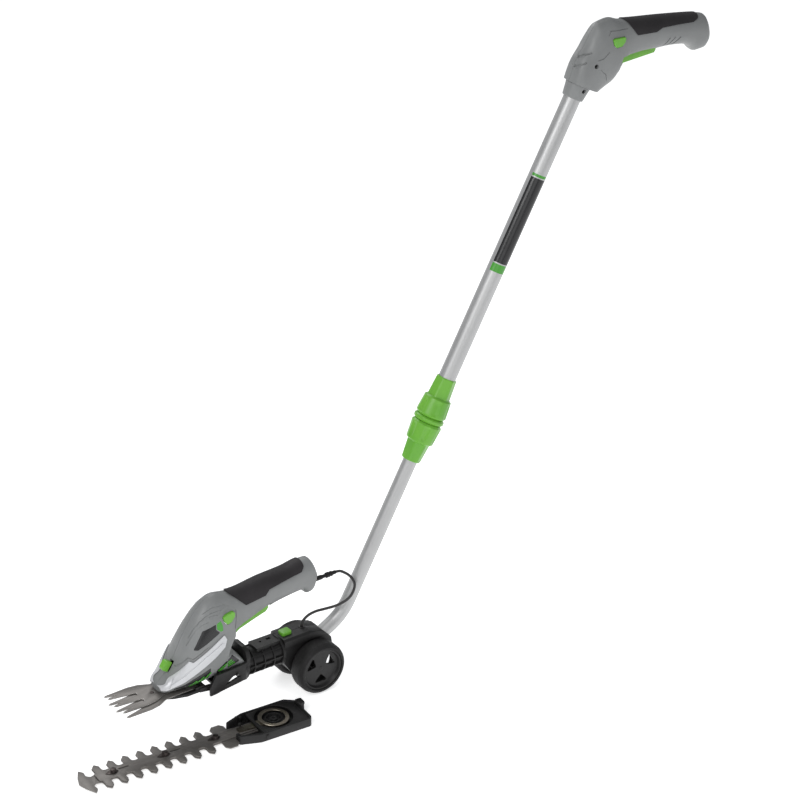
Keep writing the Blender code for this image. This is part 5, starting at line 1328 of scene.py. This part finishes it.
def toothedBar(tip, end, neck, reach, shoulder):
    # one side's outline with house-shaped teeth and round gaps, then the same on the other side
    upper = list(tip)
    for k in range(plates["count"]):
        u = plates["first"] + k * spare["pitch"]
        upper += [(u - neck, plates["spine"], 4.2), (u - neck, shoulder, 0.8), (u - 0.7, reach, 0.3),
                  (u + 0.7, reach, 0.3), (u + neck, shoulder, 0.8), (u + neck, plates["spine"], 4.2)]
    upper += end
    both = upper + [(u, -v, r) for u, v, r in reversed(upper)]
    return roundCorners([(u, v + spare["middle"]) for u, v, r in both], [r for u, v, r in both], 4)


def plateHoles(moving, low):
    holes, half = [], plates["slot"] if moving else plates["bolt"]
    for u in spare["bolts"]:
        hole = roundCorners(rectangle((u, spare["middle"]), 2 * half, 2 * plates["bolt"]), 2.4, 5)
        holes.append(sparePrism(hole, low - 2, low + 4))
        if moving and u != spare["bolts"][-1]:
            start, end, width = plates["slit"]
            line = [(u + along, spare["middle"] + across) for along, across in (start, end)]
            holes.append(sparePrism(strokeOutline(line, width), low - 2, low + 4))
    return holes


def buildPlates():
    packed = bpy.data.objects["hedge_blade_fixed"]
    length = max(((Vector(corner) - at(*spare["place"], 0)) / mm).x for corner in packed.bound_box)
    guard = plates["guard"] + [(length - 2.5, 10, 0.5)]
    rows = (("hedge_blade_fixed", packed["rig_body"], plates["tip"], guard),
            ("hedge_blade_moving", "hedge_blade", plates["movingTip"], plates["movingEnd"]))
    for k, (name, body, tip, end) in enumerate(rows):
        low = plates["under"] + k * (plates["thick"] + gap)
        outline = toothedBar(tip, end, plates["neck"] - 0.4 * k, plates["reach"] - 0.8 * k,
                             plates["shoulder"] - 0.8 * k)
        thing = addThing("fine_" + name, sparePrism(outline, low, low + plates["thick"]))
        cutAway(thing, *plateHoles(k, low))
        bevelEdges(thing, 0.22, 2, 50)
        finishPiece(thing, "bladeSteel", body, name, 35)


def buildBolts():
    base, top, middle = bolt["base"], bolt["top"], spare["middle"]
    shank = [(0, 0.4), (3.9, 0.4), (4.2, 0.7), (4.2, base - 0.3), (2.2, base - 0.3), (2.2, top + 0.3),
             (4.6, top + 0.3), (5.0, top + 0.6), (5.0, top + 1.2), (0, top + 1.2)]
    turns = [math.radians(60 * i + bolt["hexTurn"]) for i in range(6)]
    for k, u in enumerate(spare["bolts"]):
        thing = addThing("fine_hedge_bolt_%d" % (k + 1), latheShape(shank, spareFrame(u, middle), 48))
        hexagon = [(u + bolt["hexRadius"] * math.cos(turn), middle + bolt["hexRadius"] * math.sin(turn))
                   for turn in turns]
        joinOn(thing, sparePrism(hexagon, *bolt["hexSpan"]))
        bevelEdges(thing, 0.25, 2, 50)
        finishPiece(thing, "plainSteel", "spare_unit", "hedge_bolt_%d" % (k + 1), 35)
        leaf = [(u + along, middle + across) for along, across in bolt["leaf"]]
        leaf = sparePrism(roundCorners(leaf, bolt["leafRounding"], 6), *bolt["leafSpan"])
        washer = addThing("leafWasher_%d" % (k + 1), leaf)
        bevelEdges(washer, 0.15, 2, 50)
        finishPiece(washer, "plainSteel", "spare_unit")


def buildDrive():
    place = spareFrame(spare["cup"], 0.0)
    thing = addThing("fine_drive_ring", latheShape(roundCorners(drive["ring"], 0.15, 2), place, 96))
    joinOn(thing, sparePrism(drive["arm"], *drive["armSpan"]))
    finishPiece(thing, "ringBrass", "hedge_blade", "drive_ring", 35)
    turnedPiece("fine_drive_cup", drive["cup"], place, "blackPlastic", "drive_cup", "drive_cup", 72, 0.35)
    addBars("cupTeeth", barsInRing, *drive["teeth"], "blackPlastic",
            place @ Matrix.Translation((0, 0, drive["teethHeight"])), "drive_cup")


def buildHolderDetail():
    # posts by the tray's mouth, and a row of ribs along each side
    radius = tray["postRadius"]
    for k, (u, v, high) in enumerate(tray["posts"]):
        post = [(0, 9), (radius, 9), (radius, high - 0.6), (radius - 0.5, high), (0, high)]
        turnedPiece("trayPost_%d" % k, post, spareFrame(u, v), "blackPlastic", "spare_unit", None, 24)
    for name, across in tray["ribRows"].items():
        place = spareFrame(tray["ribStart"], across, tray["ribHeight"])
        addBars(name, barsInRow, *tray["ribs"], "blackPlastic", place, "spare_unit")


buildPlates()
buildBolts()
buildDrive()
buildHolderDetail()
print("spare blade")


# Floor and light: a pale floor that keeps the shadow, and a white background
studio = {
    "floorLevel": -2.05, "floorReach": 4000, "floorSides": 64, "floorDark": (0.93, 0.93, 0.93),
    "floorLight": (0.97, 0.97, 0.97), "floorRough": 0.75, "floorGlow": 0.6,
    "sky": (0.92, 0.94, 0.96, 1), "skyStrength": 0.42,
    # name, place, aim, size and power
    "lamps": (("keyLight", (-1700, -800, 1900), (-20, 0, 300), 1100, 22.0),
              ("fillLight", (-900, -2200, 1000), (60, 0, 300), 1400, 7.0),
              ("backLight", (300, 1300, 1500), (60, 0, 300), 1000, 10.0))}


def buildFloor():
    ring = [at(x, y, studio["floorLevel"]) for x, y in circle(studio["floorReach"], studio["floorSides"])]
    mesh = bpy.data.meshes.new("floor")
    mesh.from_pydata(ring, [], [tuple(range(len(ring)))])
    material, tree, shader, place = startMaterial("paleFloor")
    cloud = ramp(tree, noise(tree, place, 3.0, 2.0, 0.5), 0.3, 0.7, 0.0, 1.0)
    wire(tree, shader, {"Base Color": blendColour(tree, cloud, studio["floorDark"], studio["floorLight"]),
                        "Roughness": studio["floorRough"], "Emission Color": (1, 1, 1, 1),
                        "Emission Strength": studio["floorGlow"]})
    mesh.materials.append(material)
    linked("floor", mesh)


def buildSky():
    # the camera sees plain white, and the part is lit by a weaker cool grey
    world = bpy.data.worlds.new("studio")
    world.use_nodes = True
    tree = world.node_tree
    grey = wire(tree, tree.nodes["Background"], {"Color": studio["sky"], "Strength": studio["skyStrength"]})
    white = addNode(tree, "ShaderNodeBackground", {"Color": (1, 1, 1, 1)})
    seen = addNode(tree, "ShaderNodeLightPath", {}).outputs["Is Camera Ray"]
    mix = addNode(tree, "ShaderNodeMixShader", {
        "Fac": seen, 1: grey.outputs["Background"], 2: white.outputs["Background"]})
    wire(tree, tree.nodes["World Output"], {"Surface": mix.outputs["Shader"]})
    bpy.context.scene.world = world


def buildLamps():
    for name, place, aim, size, power in studio["lamps"]:
        data = bpy.data.lights.new(name, "AREA")
        data.size = size * mm
        data.energy = power
        lamp = linked(name, data)
        lamp.location = at(*place)
        lamp.rotation_euler = (at(*aim) - at(*place)).to_track_quat("-Z", "Y").to_euler()


buildFloor()
buildSky()
buildLamps()
bpy.context.scene.view_settings.view_transform = "Standard"
print("floor and light")
